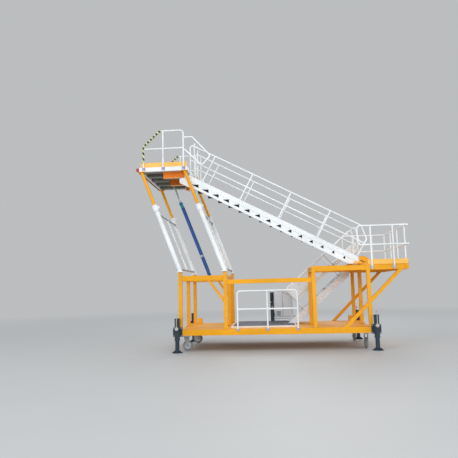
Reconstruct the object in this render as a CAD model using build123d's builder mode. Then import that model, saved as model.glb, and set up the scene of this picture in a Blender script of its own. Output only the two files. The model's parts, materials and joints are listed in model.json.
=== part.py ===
from build123d import *
from math import asin, atan2, cos, hypot, radians, sin, tan
import os

# Height-adjustable aircraft maintenance stand on casters.
# Millimetres, +X along the stand towards the landing, +Y away from the front side, +Z up.
# The origin is on the floor, midway between the platform's bumper and the landing rail's end.

os.makedirs("parts", exist_ok=True)

# Fits: side clearance of moving pieces, gap between seated pieces, running gap round a rod, cuts past a face
clearance = 5
seat_gap = 0.3
running_gap = 0.4
past = 1

# Base frame
base_length = 5280
base_width = 2800
base_underside = 450
base_beam_depth = 160
base_beam_width = 100
deck_plate = 10
platform_reach = 1260
landing_reach = 1080
outrigger_width = 100
corner_box = 140
corner_box_inset = 175
corner_box_height = 165

# Towers
post_size = 100
left_post_pitch = 1270
left_post_overhang = 42
corner_post_rise = 110
right_post_pitch = 1490
left_tower_top = 2110
right_tower_top = 2290
tower_beam_depth = 140
tower_beam_width = 80
tie_beam_height = 1920
tie_beam_depth = 120
brace_size = 70
knee_brace_drop = 555
knee_brace_run = 405
strut_size = 90
strut_top_inset = 210
strut_slope = 1.0

# Sloping legs and lifting cylinder
leg_lean = 20.8
leg_outer_radius = 65
leg_bore_radius = 52
leg_inner_radius = 46
leg_foot_depth = 60
leg_outer_length = 1872
collar_radius = 80
collar_length = 195
knob_radius = 28
knob_length = 45
leg_inner_overlap = 1250
foot_plate_size = 170
foot_plate_thickness = 20
cross_tie_radius = 30
mid_tube_radius = 26
tie_insets = (82, 60)
cylinder_radius = 50
cylinder_bore = 32
rod_radius = 26
gland_length = 90
cylinder_length = 2521
cylinder_bands = (50, 670)
band_width = 40
band_thickness = 8
rod_overlap = 1100

# Upper platform
platform_length = 1410
platform_underside = 5170
platform_beam_depth = 120
platform_beam_width = 60
platform_side_width = 100
joist_depth = 80
joist_width = 190
joist_count = 5
kick_height = 130
kick_thickness = 8
kick_inset = 40
bumper_radius = 50
stair_opening_gap = 60
bracket_length = 610
bracket_overhang = 65
bracket_depth = 180
bracket_width = 120
ear_width = 110
ear_thickness = 10
ear_drop = 45
hinge_inset = 180
hinge_depth = 318
hinge_pin_radius = 12
pin_head = 10

# Guard rails
rail_radius = 21
rail_height = 1090
mid_rail_height = 540
rail_bend = 90
rail_foot_inset = 20
rail_post_pitch = 600
platform_post_inset = 100
landing_post_inset = 110
landing_rail_reach = 300
end_post_count = 4
end_post_insets = (300, 10)
guard_post_inset = 130
guard_slope_run = 480
guard_slope_drop = 450
guard_joint_reach = 60
guard_bends = (100, 150)
guard_radius = 28
loop_corners = ((0, 215), (240, 215), (765, 796), (520, 1080), (20, 580))
loop_bend = 70

# Upper stair
stair_front_gap = 165
stair_centre_gap = 155
hinge_drop = 280
stringer_thickness = 50
stringer_depth = 330
upper_beam_depth = 140
lower_beam_depth = 100
tread_count = 17
tread_depth = 250
tread_thickness = 35
tread_drop = 60
first_tread_inset = 60
last_tread_reach = 212
stair_rail_height = 830
stair_rail_inset = 30
stair_rail_reach = 110
foot_leg_reach = 130
foot_leg_drop = 390
foot_leg_inset = 40
first_stair_post = 380
last_stair_post = 1114
stair_post_count = 4
stair_end_gap = 40
stringer_tail = 70
first_gap = 160
gap_share = 0.62
stair_foot_reach = 80
foot_edge_height = 221
foot_clearance = 35
foot_roller_radius = 55
foot_roller_width = 45
foot_axle_radius = 18
foot_nose = 100
cover_clearance = 25
cover_left = 10
cover_right = 287
cover_shoulder = 61
cover_radius = 173
cover_thickness = 12

# Lower stair and landing
lower_step_count = 8
lower_stair_going = 239
lower_stair_offset = 150
lower_stair_rear_gap = 250
lower_stringer_depth = 200
lower_stringer_thickness = 40
lower_tread_depth = 230
lower_tread_thickness = 35
lower_rail_height = 1046
lower_mid_heights = (435, 520)
lower_post_insets = (1415, 1000, 225)
lower_rail_reach = 310
guard_panel_thickness = 4
landing_edge_inset = 280
landing_front_inset = 630

# Cabinet, power pack and front rail
chequer_gaps = (110, 490)
chequer_thickness = 35
walk_inset = (510, 20)
cabinet_width = 590
cabinet_depth = 235
cabinet_height = 940
cabinet_inset = 602
cabinet_rear_inset = 2
cabinet_foot = 60
cabinet_foot_width = 50
cabinet_foot_inset = 60
unit_gap = 10
unit_width = 120
unit_inset = 20
tank_height = 580
motor_radius = 55
motor_length = 350
front_rail_gaps = (332, 475)
front_rail_foot = 50
front_rail_top = 1650
front_rail_mid = 1150

# Screw jacks
jack_overhang = 75
jack_tube_radius = 71
jack_tube_top = 930
jack_tube_bottom = 330
jack_leg_radius = 58
jack_foot_radius = 150
jack_foot_thickness = 14
jack_bore_end = 30
jack_travel = 250
jack_top_gap = 10
flange_width = 262
flange_height = 258
flange_thickness = 20
flange_overhang = 24
jack_weld = 6
gear_cap_radius = 45
gear_cap_length = 55
gear_height = 655
crank_length = 385
crank_radius = 10
crank_inset = 14
handle_length = 40
handle_radius = 13

# Casters
wheel_radius = 145
wheel_width = 70
caster_insets_x = (80, 130)
caster_inset_y = 400
caster_trail = 60
tyre_shoulder = 14
mount_length = 300
mount_width = 500
mount_thickness = 10
caster_plate_size = 150
caster_plate_thickness = 12
fork_gap = 8
fork_cheek = 10
fork_crown = 26
fork_back = 70
fork_front = 50
cheek_back = 110
cheek_front = 30
cheek_waist = (40, 35)
cheek_foot = (20, 32)
stem_radius = 28
stem_reach = 6
axle_radius = 15

# Places worked out from the sizes above
base_left = -(base_length + landing_reach - platform_reach) / 2
base_right = base_left + base_length
front, rear = -base_width / 2, base_width / 2
sides = (("front", -1), ("rear", 1))
base_top = base_underside + base_beam_depth
member_top = base_top - deck_plate
chequer_top = base_top + chequer_thickness
post_half = post_size / 2
left_post_x = base_left + post_half - left_post_overhang
left_posts_x = (left_post_x, left_post_x + left_post_pitch)
corner_post_top = left_tower_top + corner_post_rise
right_posts_x = (base_right - post_half - right_post_pitch, base_right - post_half)
rows_y = (front + post_half, 0, rear - post_half)
left_beam_z = (left_tower_top - tower_beam_depth, left_tower_top)
right_beam_z = (right_tower_top - tower_beam_depth, right_tower_top)
landing_right = base_right + landing_reach - rail_radius * 2
landing_edge = right_posts_x[1] - landing_edge_inset
landing_front_edge = right_posts_x[1] - landing_front_inset
landing_top = right_tower_top + deck_plate
platform_left = base_left - platform_reach + 2 * bumper_radius
platform_right = platform_left + platform_length
platform_top = platform_underside + platform_beam_depth
lean_sin, lean_cos = sin(radians(leg_lean)), cos(radians(leg_lean))
leg_base_z = corner_post_top + foot_plate_thickness
stair_front = front + stair_front_gap
stair_rear = -stair_centre_gap
stair_width = stair_rear - stair_front
stair_foot_x = landing_edge + stair_foot_reach
foot_edge_z = landing_top + foot_edge_height
foot_axle_z = landing_top + foot_roller_radius + seat_gap
hinge_x = platform_right - hinge_inset
hinge_z = platform_underside - hinge_depth
hinge_run, hinge_rise = stair_foot_x - hinge_x, hinge_z - foot_edge_z
stair_slope = atan2(hinge_rise, hinge_run) + asin(hinge_drop / hypot(hinge_run, hinge_rise))
slope_sin, slope_cos, slope_tan = sin(stair_slope), cos(stair_slope), tan(stair_slope)
rail_stop = rail_radius + seat_gap
guard_stop = guard_radius + seat_gap
upright_stop = (rail_stop + rail_radius * slope_sin) / slope_cos
upright = (0, 0, 1)


def block(x, y, z):
    """Box between the low and high value given for each axis."""
    with Locations(((x[0] + x[1]) / 2, (y[0] + y[1]) / 2, (z[0] + z[1]) / 2)):
        Box(x[1] - x[0], y[1] - y[0], z[1] - z[0])


def around(centre, size):
    """Low and high value of a span centred on a value."""
    return (centre - size / 2, centre + size / 2)


def tube(start, end, radius, mode=Mode.ADD):
    """Straight round bar between two points, added or cut away."""
    way = Vector(end) - Vector(start)
    with BuildSketch(Plane(origin=start, z_dir=way)) as profile:
        Circle(radius)
    extrude(profile.sketch, amount=way.length, mode=mode)


def rail(start, end, stops=(rail_stop, rail_stop)):
    """Straight rail between two tubes' axes, ending short of each by its stop."""
    way = (Vector(end) - Vector(start)).normalized()
    tube(Vector(start) + way * stops[0], Vector(end) - way * stops[1], rail_radius)


def post(foot, up, heights):
    """Post from its foot along up, in pieces that stop just short of the rail at each height."""
    low = 0
    for height in heights:
        tube(Vector(foot) + Vector(up) * low, Vector(foot) + Vector(up) * (height - rail_stop), rail_radius)
        low = height + rail_stop


def bent_tube(points, radius, bend):
    """Round tube along straight runs joined by tangent bends."""
    with BuildLine() as path:
        FilletPolyline(*points, radius=bend)
    with BuildSketch(Plane(origin=path.line @ 0, z_dir=path.line % 0)) as profile:
        Circle(radius)
    sweep(profile.sketch, path=path.wire())


def plate(points, y, thickness, mode=Mode.ADD):
    """Flat plate from (x, z) corners, from y towards +Y, added or cut away."""
    with BuildSketch(Plane(origin=(0, y, 0), x_dir=(1, 0, 0), z_dir=(0, -1, 0))) as profile:
        with BuildLine():
            Polyline(*points, close=True)
        make_face()
    extrude(profile.sketch, amount=-thickness, mode=mode)


def brace_halves(run, drop, size):
    """Half the lengths of a sloping bar's level and upright end cuts."""
    slope = atan2(drop, run)
    return (size / 2 / sin(slope), size / 2 / cos(slope))


def leg_point(x, y, distance):
    """Point up a leg's sloping axis from its foot on a post."""
    return (x - distance * lean_sin, y, leg_base_z + distance * lean_cos)


def finish(piece, name):
    """Label a finished piece and write its file."""
    piece.part.label = name
    export_step(piece.part, f"parts/{name}.step")


# Base: two long side beams
with BuildPart() as base_side_beams:
    for name, side in sides:
        y = side * (base_width - base_beam_width) / 2
        block((base_left, base_right), around(y, base_beam_width), (base_underside, base_top))
finish(base_side_beams, "base_side_beams")

# Base: members across, under each pair of posts and at mid length
inner_y = (front + base_beam_width, rear - base_beam_width)
cross_members_x = (*left_posts_x, (left_posts_x[1] + right_posts_x[0]) / 2, *right_posts_x)
with BuildPart() as base_cross_members:
    for x in cross_members_x:
        block(around(x, base_beam_width), inner_y, (base_underside, member_top))
finish(base_cross_members, "base_cross_members")

# Base: deck plate between the side beams, carried by the cross members
with BuildPart() as base_deck:
    block((left_posts_x[0] - post_half, base_right), inner_y, (member_top, base_top))
finish(base_deck, "base_deck")

# Base: chequer plate walkway
with BuildPart() as chequer_deck:
    walk_x = (left_posts_x[1] + chequer_gaps[0], right_posts_x[0] - chequer_gaps[1])
    walk_y = (front + walk_inset[0], rear - walk_inset[1])
    block(walk_x, walk_y, (base_top, chequer_top))
finish(chequer_deck, "chequer_deck")

# Base: outrigger stubs that carry the jacks, and a box above each rear caster
jack_x = (base_left - jack_overhang, base_right + jack_overhang)
with BuildPart() as base_outriggers:
    for name, side in sides:
        y = sorted((side * base_width / 2, side * (base_width / 2 - outrigger_width)))
        for x, end in zip(jack_x, (base_left, base_right)):
            outer = x + (flange_width / 2 if end > 0 else -flange_width / 2)
            block(sorted((outer, end)), y, (base_underside, base_top))
    for x in (base_left + corner_box_inset, base_right - corner_box_inset):
        y = rear - corner_box / 2
        block(around(x, corner_box), around(y, corner_box), (base_top, base_top + corner_box_height))
finish(base_outriggers, "base_outriggers")


# Left tower: six posts, the corner ones rising past the beams to the legs' feet
with BuildPart() as left_tower_posts:
    for x in left_posts_x:
        for y in rows_y:
            top = left_tower_top if y == rows_y[1] else corner_post_top
            block(around(x, post_size), around(y, post_size), (base_top, top))
finish(left_tower_posts, "left_tower_posts")

# Left tower: top beams along and across, between the posts
with BuildPart() as left_tower_beams:
    for y in rows_y:
        span = (left_posts_x[0] + post_half, left_posts_x[1] - post_half)
        block(span, around(y, tower_beam_width), left_beam_z)
    for x in left_posts_x:
        for y0, y1 in zip(rows_y, rows_y[1:]):
            block(around(x, tower_beam_width), (y0 + post_half, y1 - post_half), left_beam_z)
finish(left_tower_beams, "left_tower_beams")

# Left tower: knee braces under the front and rear beams
with BuildPart() as knee_braces:
    for y in (rows_y[0], rows_y[2]):
        x1 = left_posts_x[1] - post_half
        z1 = left_beam_z[0]
        half_x, half_z = brace_halves(knee_brace_run, knee_brace_drop, brace_size)
        corners = (
            (x1 - knee_brace_run - half_x, z1),
            (x1 - knee_brace_run + half_x, z1),
            (x1, z1 - knee_brace_drop + half_z),
            (x1, z1 - knee_brace_drop - half_z),
        )
        plate(corners, y - brace_size / 2, brace_size)
finish(knee_braces, "knee_braces")

# Long tie beam along the front between the towers
with BuildPart() as long_tie_beam:
    span = (left_posts_x[1] + post_half, right_posts_x[0] - post_half)
    block(span, around(rows_y[0], tower_beam_width), around(tie_beam_height, tie_beam_depth))
finish(long_tie_beam, "long_tie_beam")

# Right tower: five posts, with none where the lower stair passes
with BuildPart() as right_tower_posts:
    for i, x in enumerate(right_posts_x):
        for j, y in enumerate(rows_y):
            if (i, j) != (0, 2):
                block(around(x, post_size), around(y, post_size), (base_top, right_tower_top))
finish(right_tower_posts, "right_tower_posts")

# Right tower and landing: long beams under the landing deck, between the posts and beyond them
edge_beam_x = (landing_edge, landing_edge + tower_beam_width)
end_beam_x = (landing_right - tower_beam_width, landing_right)
with BuildPart() as landing_long_beams:
    for y, left in zip(rows_y, (right_posts_x[0] + post_half,) * 2 + (edge_beam_x[1],)):
        for span in ((left, right_posts_x[1] - post_half), (right_posts_x[1] + post_half, end_beam_x[0])):
            block(span, around(y, tower_beam_width), right_beam_z)
finish(landing_long_beams, "landing_long_beams")

# Right tower and landing: cross beams between the posts, and at the deck's stair edge and right end
with BuildPart() as landing_cross_beams:
    for x, y0, y1 in (
        (right_posts_x[0], rows_y[0], rows_y[1]),
        (right_posts_x[1], rows_y[0], rows_y[1]),
        (right_posts_x[1], rows_y[1], rows_y[2]),
    ):
        block(around(x, tower_beam_width), (y0 + post_half, y1 - post_half), right_beam_z)
    block(end_beam_x, (front, rear), right_beam_z)
    block(edge_beam_x, (tower_beam_width / 2, rows_y[2] + tower_beam_width / 2), right_beam_z)
finish(landing_cross_beams, "landing_cross_beams")


# Landing struts: one line from the base past the end post to the landing's underside
strut_top_x = landing_right - strut_top_inset
with BuildPart() as landing_struts:
    for y in (rows_y[0], rows_y[2]):
        half_x, half_z = brace_halves(1, strut_slope, strut_size)
        z_top = right_beam_z[0]
        post_out = right_posts_x[1] + post_half
        post_in = right_posts_x[1] - post_half
        z_out = z_top - (strut_top_x - post_out) * strut_slope
        z_in = z_top - (strut_top_x - post_in) * strut_slope
        foot_x = strut_top_x - (z_top - base_top) / strut_slope
        outer = (
            (strut_top_x - half_x, z_top),
            (strut_top_x + half_x, z_top),
            (post_out, z_out - half_z),
            (post_out, z_out + half_z),
        )
        inner = (
            (post_in, z_in + half_z),
            (post_in, z_in - half_z),
            (foot_x + half_x, base_top),
            (foot_x - half_x, base_top),
        )
        plate(outer, y - strut_size / 2, strut_size)
        plate(inner, y - strut_size / 2, strut_size)
finish(landing_struts, "landing_struts")

# Landing deck: one plate past the stair, and one in the front half under the upper stair's foot
with BuildPart() as landing_deck:
    deck_z = (right_tower_top, landing_top)
    block((landing_edge, landing_right), (front, rear), deck_z)
    block((landing_front_edge, landing_edge - seat_gap), (front, tower_beam_width / 2), deck_z)
finish(landing_deck, "landing_deck")

# Landing kick plates on the front, right end and rear edges
with BuildPart() as landing_kick_plates:
    z = (landing_top, landing_top + kick_height)
    end_plate_left = landing_right - kick_thickness
    for name, side in sides:
        y = side * (base_width - kick_thickness) / 2
        block((right_posts_x[1], end_plate_left - seat_gap), around(y, kick_thickness), z)
    block((end_plate_left, landing_right), (front, rear), z)
finish(landing_kick_plates, "landing_kick_plates")

# Landing guard rails: a hoop with two posts on the front and on the rear, and a frame at the end
rail_y = base_width / 2 + rail_radius
rail_top = rail_height - rail_radius
landing_rail_left = base_right - landing_rail_reach
landing_first_x = right_posts_x[1] + landing_post_inset
landing_post_x = (landing_first_x, landing_first_x + rail_post_pitch)
landing_post_z = right_beam_z[0] + rail_foot_inset
landing_rails = [landing_top + height - landing_post_z for height in (mid_rail_height, rail_top)]
end_post_pitch = (base_width - sum(end_post_insets)) / (end_post_count - 1)
end_post_y = [front + end_post_insets[0] + i * end_post_pitch for i in range(end_post_count)]
with BuildPart() as landing_guard_rails:
    z_mid, z_top = landing_top + mid_rail_height, landing_top + rail_top
    x_end = landing_right - seat_gap
    for name, side in sides:
        y = side * rail_y
        corners = (
            (x_end, y, z_mid),
            (landing_rail_left, y, z_mid),
            (landing_rail_left, y, z_top),
            (x_end, y, z_top),
        )
        bent_tube(corners, rail_radius, rail_bend)
        for x in landing_post_x:
            post((x, y, landing_post_z), upright, landing_rails)
    x_end = landing_right + rail_radius
    for z in (z_mid, z_top):
        tube((x_end, -rail_y - rail_radius, z), (x_end, rail_y + rail_radius, z), rail_radius)
    for y in end_post_y:
        post((x_end, y, landing_post_z), upright, landing_rails)
finish(landing_guard_rails, "landing_guard_rails")


# Legs: outer tubes on foot plates that seat on the left tower's corner posts
legs = [(x, y) for x in left_posts_x for y in (rows_y[0], rows_y[2])]
with BuildPart() as leg_outer_tubes:
    for x, y in legs:
        block(around(x, foot_plate_size), around(y, foot_plate_size), (corner_post_top, leg_base_z))
        tube(leg_point(x, y, -post_size), leg_point(x, y, leg_outer_length), leg_outer_radius)
    with Locations((0, 0, corner_post_top / 2)):
        Box(2 * base_length, 2 * base_width, corner_post_top, mode=Mode.SUBTRACT)
    for x, y in legs:
        bore = leg_point(x, y, leg_foot_depth), leg_point(x, y, leg_outer_length + past)
        tube(*bore, leg_bore_radius, Mode.SUBTRACT)
finish(leg_outer_tubes, "leg_outer_tubes")

# Legs: guide collars with their clamp knobs at the top of the outer tubes
across_leg = Vector(lean_cos, 0, lean_sin)
with BuildPart() as leg_collars:
    low, high = leg_outer_length, leg_outer_length + collar_length
    for x, y in legs:
        tube(leg_point(x, y, low), leg_point(x, y, high), collar_radius)
        knob = Vector(leg_point(x, y, (low + high) / 2))
        tube(knob, knob + across_leg * (collar_radius + knob_length), knob_radius)
    for x, y in legs:
        bore = leg_point(x, y, low - past), leg_point(x, y, high + past)
        tube(*bore, leg_inner_radius + running_gap, Mode.SUBTRACT)
finish(leg_collars, "leg_collars")

# Legs: galvanised ties across each pair, cut to the outer tubes
tie_distances = (tie_insets[0], leg_outer_length - tie_insets[1])
with BuildPart() as leg_cross_ties:
    for x in left_posts_x:
        for d in tie_distances:
            tube(leg_point(x, rows_y[0], d), leg_point(x, rows_y[2], d), cross_tie_radius)
    for x, y in legs:
        tube(leg_point(x, y, 0), leg_point(x, y, leg_outer_length), leg_outer_radius, Mode.SUBTRACT)
finish(leg_cross_ties, "leg_cross_ties")

# Legs: slim tubes between the ties, midway across
with BuildPart() as leg_mid_tubes:
    for x in left_posts_x:
        low, high = (leg_point(x, 0, d) for d in tie_distances)
        way = (Vector(high) - Vector(low)).normalized() * (cross_tie_radius + seat_gap)
        tube(Vector(low) + way, Vector(high) - way, mid_tube_radius)
finish(leg_mid_tubes, "leg_mid_tubes")

# Legs: sliding inner tubes, from the platform's underside down into the outer tubes
inner_top = (platform_underside - leg_base_z) / lean_cos
inner_bottom = leg_outer_length + collar_length - leg_inner_overlap
with BuildPart() as leg_inner_tubes:
    for x, y in legs:
        tube(leg_point(x, y, inner_bottom), leg_point(x, y, inner_top + post_size), leg_inner_radius)
    with Locations((0, 0, platform_underside + post_size)):
        Box(2 * base_length, 2 * base_width, 2 * post_size, mode=Mode.SUBTRACT)
finish(leg_inner_tubes, "leg_inner_tubes")

# Lifting cylinder: barrel on the left tower's middle beam, with its bands and gland
cylinder_x = (left_posts_x[0] + left_posts_x[1]) / 2
cylinder_foot = (leg_base_z - left_tower_top) / lean_cos
gland_start = cylinder_length - gland_length


def cylinder_point(distance):
    """Point up the cylinder's axis from the top of the middle beam."""
    return leg_point(cylinder_x, 0, distance - cylinder_foot)


with BuildPart() as cylinder_barrel:
    tube(cylinder_point(-post_size), cylinder_point(cylinder_length), cylinder_radius)
    for d in (*cylinder_bands, gland_start):
        tube(cylinder_point(d), cylinder_point(d + band_width), cylinder_radius + band_thickness)
    with Locations((cylinder_x, 0, left_tower_top / 2)):
        Box(base_width, base_width, left_tower_top, mode=Mode.SUBTRACT)
    tube(cylinder_point(leg_foot_depth), cylinder_point(gland_start), cylinder_bore, Mode.SUBTRACT)
    gland = cylinder_point(gland_start), cylinder_point(cylinder_length + past)
    tube(*gland, rod_radius + running_gap, Mode.SUBTRACT)
finish(cylinder_barrel, "cylinder_barrel")

# Lifting cylinder: rod up to the platform's middle joist
joist_z = (platform_underside, platform_underside + joist_depth)
rod_top = (joist_z[0] - leg_base_z) / lean_cos
with BuildPart() as cylinder_rod:
    rod_start = cylinder_point(cylinder_length - rod_overlap)
    tube(rod_start, leg_point(cylinder_x, 0, rod_top + post_size), rod_radius)
    with Locations((0, 0, joist_z[0] + post_size)):
        Box(2 * base_length, base_width, 2 * post_size, mode=Mode.SUBTRACT)
finish(cylinder_rod, "cylinder_rod")


# Upper platform: side beams along the front and rear
platform_z = (platform_underside, platform_top)
inside_y = (front + platform_side_width, rear - platform_side_width)
with BuildPart() as platform_side_beams:
    for y in ((front, inside_y[0]), (inside_y[1], rear)):
        block((platform_left, platform_right), y, platform_z)
finish(platform_side_beams, "platform_side_beams")

# Upper platform: end beams between the side beams
inside_x = (platform_left + platform_beam_width, platform_right - platform_beam_width)
with BuildPart() as platform_end_beams:
    for x in ((platform_left, inside_x[0]), (inside_x[1], platform_right)):
        block(x, inside_y, platform_z)
finish(platform_end_beams, "platform_end_beams")

# Upper platform: joists along the stand, one in the middle over the lifting cylinder
joist_pitch = (inside_y[1] - inside_y[0] - joist_width) / (joist_count - 1)
with BuildPart() as platform_joists:
    for i in range(joist_count):
        y = inside_y[0] + joist_width / 2 + i * joist_pitch
        block(inside_x, around(y, joist_width), joist_z)
finish(platform_joists, "platform_joists")

# Upper platform: deck inside the beams, on the joists
with BuildPart() as platform_deck:
    block(inside_x, inside_y, (joist_z[1], platform_top))
finish(platform_deck, "platform_deck")

# Upper platform: kick plates at the front, the rear and beside the stair opening
right_guard_front = stair_rear + stair_opening_gap
kick_left = platform_left + kick_inset
with BuildPart() as platform_kick_plates:
    z = (platform_top, platform_top + kick_height)
    end_plate_left = platform_right - kick_thickness
    for name, side in sides:
        y = side * (base_width - kick_thickness) / 2
        block((kick_left, platform_right), around(y, kick_thickness), z)
    block((end_plate_left, platform_right), (right_guard_front, rear - kick_thickness - seat_gap), z)
finish(platform_kick_plates, "platform_kick_plates")

# Upper platform: rubber bumper roll along the aircraft side
with BuildPart() as platform_bumper:
    x = platform_left - bumper_radius
    z = platform_underside + platform_beam_depth / 2
    tube((x, front, z), (x, rear, z), bumper_radius)
finish(platform_bumper, "platform_bumper")

# Upper platform: guard rails on the front and rear, one beside the stair, and a sloping loop
platform_post_z = platform_underside + rail_foot_inset
platform_rails = [platform_top + height - platform_post_z for height in (mid_rail_height, rail_top)]
post_x = platform_right - platform_post_inset
mid_post_x = post_x - rail_post_pitch
guard_x = platform_left + guard_post_inset
slope_start_x = guard_x + guard_slope_run
guard_joint_x = slope_start_x + guard_joint_reach
guard_foot_z = platform_top + kick_height
with BuildPart() as platform_guard_rails:
    z_mid, z_top = platform_top + mid_rail_height, platform_top + rail_top
    for name, side in sides:
        y = side * rail_y
        bent_tube(((post_x, y, platform_post_z), (post_x, y, z_top), (guard_joint_x, y, z_top)),
                  rail_radius, rail_bend)
        rail((guard_x, y, z_mid), (post_x, y, z_mid), (guard_stop, rail_stop))
        tube((guard_x, y, platform_post_z), (guard_x, y, guard_foot_z - seat_gap), rail_radius)
        post((mid_post_x, y, platform_post_z), upright, platform_rails)
    x = platform_right + rail_radius
    y0, y1 = right_guard_front + rail_radius, rear - rail_radius
    corners = ((x, y0, platform_post_z), (x, y0, z_top), (x, y1, z_top), (x, y1, platform_post_z))
    bent_tube(corners, rail_radius, rail_bend)
    rail((x, y0, z_mid), (x, y1, z_mid))
    post((x, (y0 + y1) / 2, platform_post_z), upright, platform_rails)
    loop_x = post_x + rail_stop
    loop = [(loop_x + run, -rail_y, z_top - drop) for run, drop in loop_corners]
    bent_tube(loop, rail_radius, loop_bend)
finish(platform_guard_rails, "platform_guard_rails")

# Upper platform: striped corner guards that curve down from the top rails to the kick plates
with BuildPart() as hazard_guards:
    for name, side in sides:
        y = side * rail_y
        points = (
            (guard_joint_x, y, z_top),
            (slope_start_x, y, z_top),
            (guard_x, y, z_top - guard_slope_drop),
            (guard_x, y, guard_foot_z),
        )
        bent_tube(points, guard_radius, guard_bends)
finish(hazard_guards, "hazard_guards")

# Upper platform: box brackets under the deck, each with an ear for the stair's hinge pin
stringers_y = (stair_front + stringer_thickness / 2, stair_rear - stringer_thickness / 2)
bracket_x = (hinge_x - bracket_length + bracket_overhang, hinge_x + bracket_overhang)
ear_offset = stringer_thickness / 2 + clearance + ear_thickness / 2
with BuildPart() as stair_hinge_brackets:
    for y, inward in zip(stringers_y, (1, -1)):
        bracket_bottom = platform_underside - bracket_depth
        block(bracket_x, around(y, bracket_width), (bracket_bottom, platform_underside))
        ear_y = around(y + inward * ear_offset, ear_thickness)
        block(around(hinge_x, ear_width), ear_y, (hinge_z - ear_drop, bracket_bottom))
        outer_y = y - inward * (stringer_thickness / 2 + pin_head)
        tube((hinge_x, outer_y, hinge_z), (hinge_x, y + inward * ear_offset, hinge_z), hinge_pin_radius)
finish(stair_hinge_brackets, "stair_hinge_brackets")


def stair_line(x, drop):
    """Point on a line parallel to the stair, a drop square to the slope below its top edge."""
    z = foot_edge_z + (stair_foot_x - x) * slope_tan - drop / slope_cos
    return (x, z)


def crossing(a, b, c, d):
    """Point where the line through a and b meets the line through c and d, all (x, z)."""
    way, across = (b[0] - a[0], b[1] - a[1]), (d[0] - c[0], d[1] - c[1])
    turn = way[0] * across[1] - way[1] * across[0]
    share = ((c[0] - a[0]) * across[1] - (c[1] - a[1]) * across[0]) / turn
    return (a[0] + share * way[0], a[1] + share * way[1])


# Upper stair: two stringers, each an upper and a lower beam with tread brackets between
lower_left = hinge_x - stringer_tail
upper_left = platform_right + stair_end_gap
bottom_flat = landing_top + foot_clearance
flat_x = stair_foot_x - (bottom_flat - stair_line(stair_foot_x, stringer_depth)[1]) / slope_tan
lower_top = stringer_depth - lower_beam_depth
first_tread_x, last_tread_x = stair_foot_x - first_tread_inset, hinge_x + last_tread_reach
stair_going = (first_tread_x - last_tread_x) / (tread_count - 1)
gap_length = gap_share * stair_going / slope_cos
neck_z = stair_line(lower_left, lower_top)[1]
foot_x = stair_foot_x + foot_nose
stringer_outline = (
    stair_line(upper_left, 0),
    stair_line(stair_foot_x - foot_roller_radius, 0),
    (foot_x, landing_top + foot_nose),
    (foot_x, bottom_flat),
    (flat_x, bottom_flat),
    stair_line(lower_left, stringer_depth),
    stair_line(lower_left, lower_top),
    (upper_left, neck_z),
)
with BuildPart() as stair_stringers:
    for y in stringers_y:
        plate(stringer_outline, y - stringer_thickness / 2, stringer_thickness)
    for i in range(tread_count - 1):
        x = upper_left + first_gap + i * stair_going
        hole = (
            stair_line(x - gap_length / 4, upper_beam_depth),
            stair_line(x + gap_length / 2, upper_beam_depth),
            stair_line(x + gap_length / 2, lower_top),
            stair_line(x - gap_length / 2, lower_top),
        )
        plate(hole, stair_front - past, stair_width + 2 * past, Mode.SUBTRACT)
    for y in stringers_y:
        reach = stringer_thickness
        hole = (hinge_x, y - reach, hinge_z), (hinge_x, y + reach, hinge_z)
        tube(*hole, hinge_pin_radius + running_gap, Mode.SUBTRACT)
finish(stair_stringers, "stair_stringers")

# Upper stair: level treads between the stringers
tread_y = (stair_front + stringer_thickness, stair_rear - stringer_thickness)
with BuildPart() as stair_treads:
    for i in range(tread_count):
        x = first_tread_x - i * stair_going
        z = stair_line(x, tread_drop)[1]
        block(around(x, tread_depth), tread_y, (z - tread_thickness, z))
finish(stair_treads, "stair_treads")

# Upper stair: guard rails on both stringers, posts square to the slope
rail_start_x = upper_left + stair_rail_inset
rail_bend_x = stair_foot_x + stair_rail_reach
square_up = (slope_sin, 0, slope_cos)
first_post_x = upper_left + first_stair_post
stair_post_pitch = (stair_foot_x - last_stair_post - first_post_x) / (stair_post_count - 1)
stair_heights = (stair_rail_height / 2, stair_rail_height)
leg_head = (rail_bend_x + foot_leg_reach, stair_line(rail_bend_x, -stair_rail_height)[1] - foot_leg_drop)
leg_foot = stair_line(stair_foot_x - foot_leg_inset, 0)
mid_line = [stair_line(x, -stair_heights[0]) for x in (rail_start_x, rail_bend_x)]
mid_end = crossing(*mid_line, leg_head, leg_foot)
with BuildPart() as stair_guard_rails:
    for y in stringers_y:
        hoop = (
            stair_line(rail_start_x, 0),
            stair_line(rail_start_x, -stair_rail_height),
            stair_line(rail_bend_x, -stair_rail_height),
            leg_head,
            leg_foot,
        )
        bent_tube([(x, y, z) for x, z in hoop], rail_radius, loop_bend)
        rail((mid_line[0][0], y, mid_line[0][1]), (mid_end[0], y, mid_end[1]), (upright_stop, rail_stop))
        for i in range(stair_post_count):
            x, z = stair_line(first_post_x + i * stair_post_pitch, 0)
            post((x, y, z), square_up, stair_heights)
    for y in stringers_y:
        plate(stringer_outline, y - stringer_thickness, 2 * stringer_thickness, Mode.SUBTRACT)
finish(stair_guard_rails, "stair_guard_rails")

# Upper stair: foot rollers on their axle stubs, inside the stringers
with BuildPart() as stair_foot_rollers:
    for y, inward in zip(stringers_y, (1, -1)):
        face = y + inward * stringer_thickness / 2
        near = face + inward * clearance
        far = near + inward * foot_roller_width
        tube((stair_foot_x, near, foot_axle_z), (stair_foot_x, far, foot_axle_z), foot_roller_radius)
        tube((stair_foot_x, face, foot_axle_z), (stair_foot_x, near, foot_axle_z), foot_axle_radius)
finish(stair_foot_rollers, "stair_foot_rollers")

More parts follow.
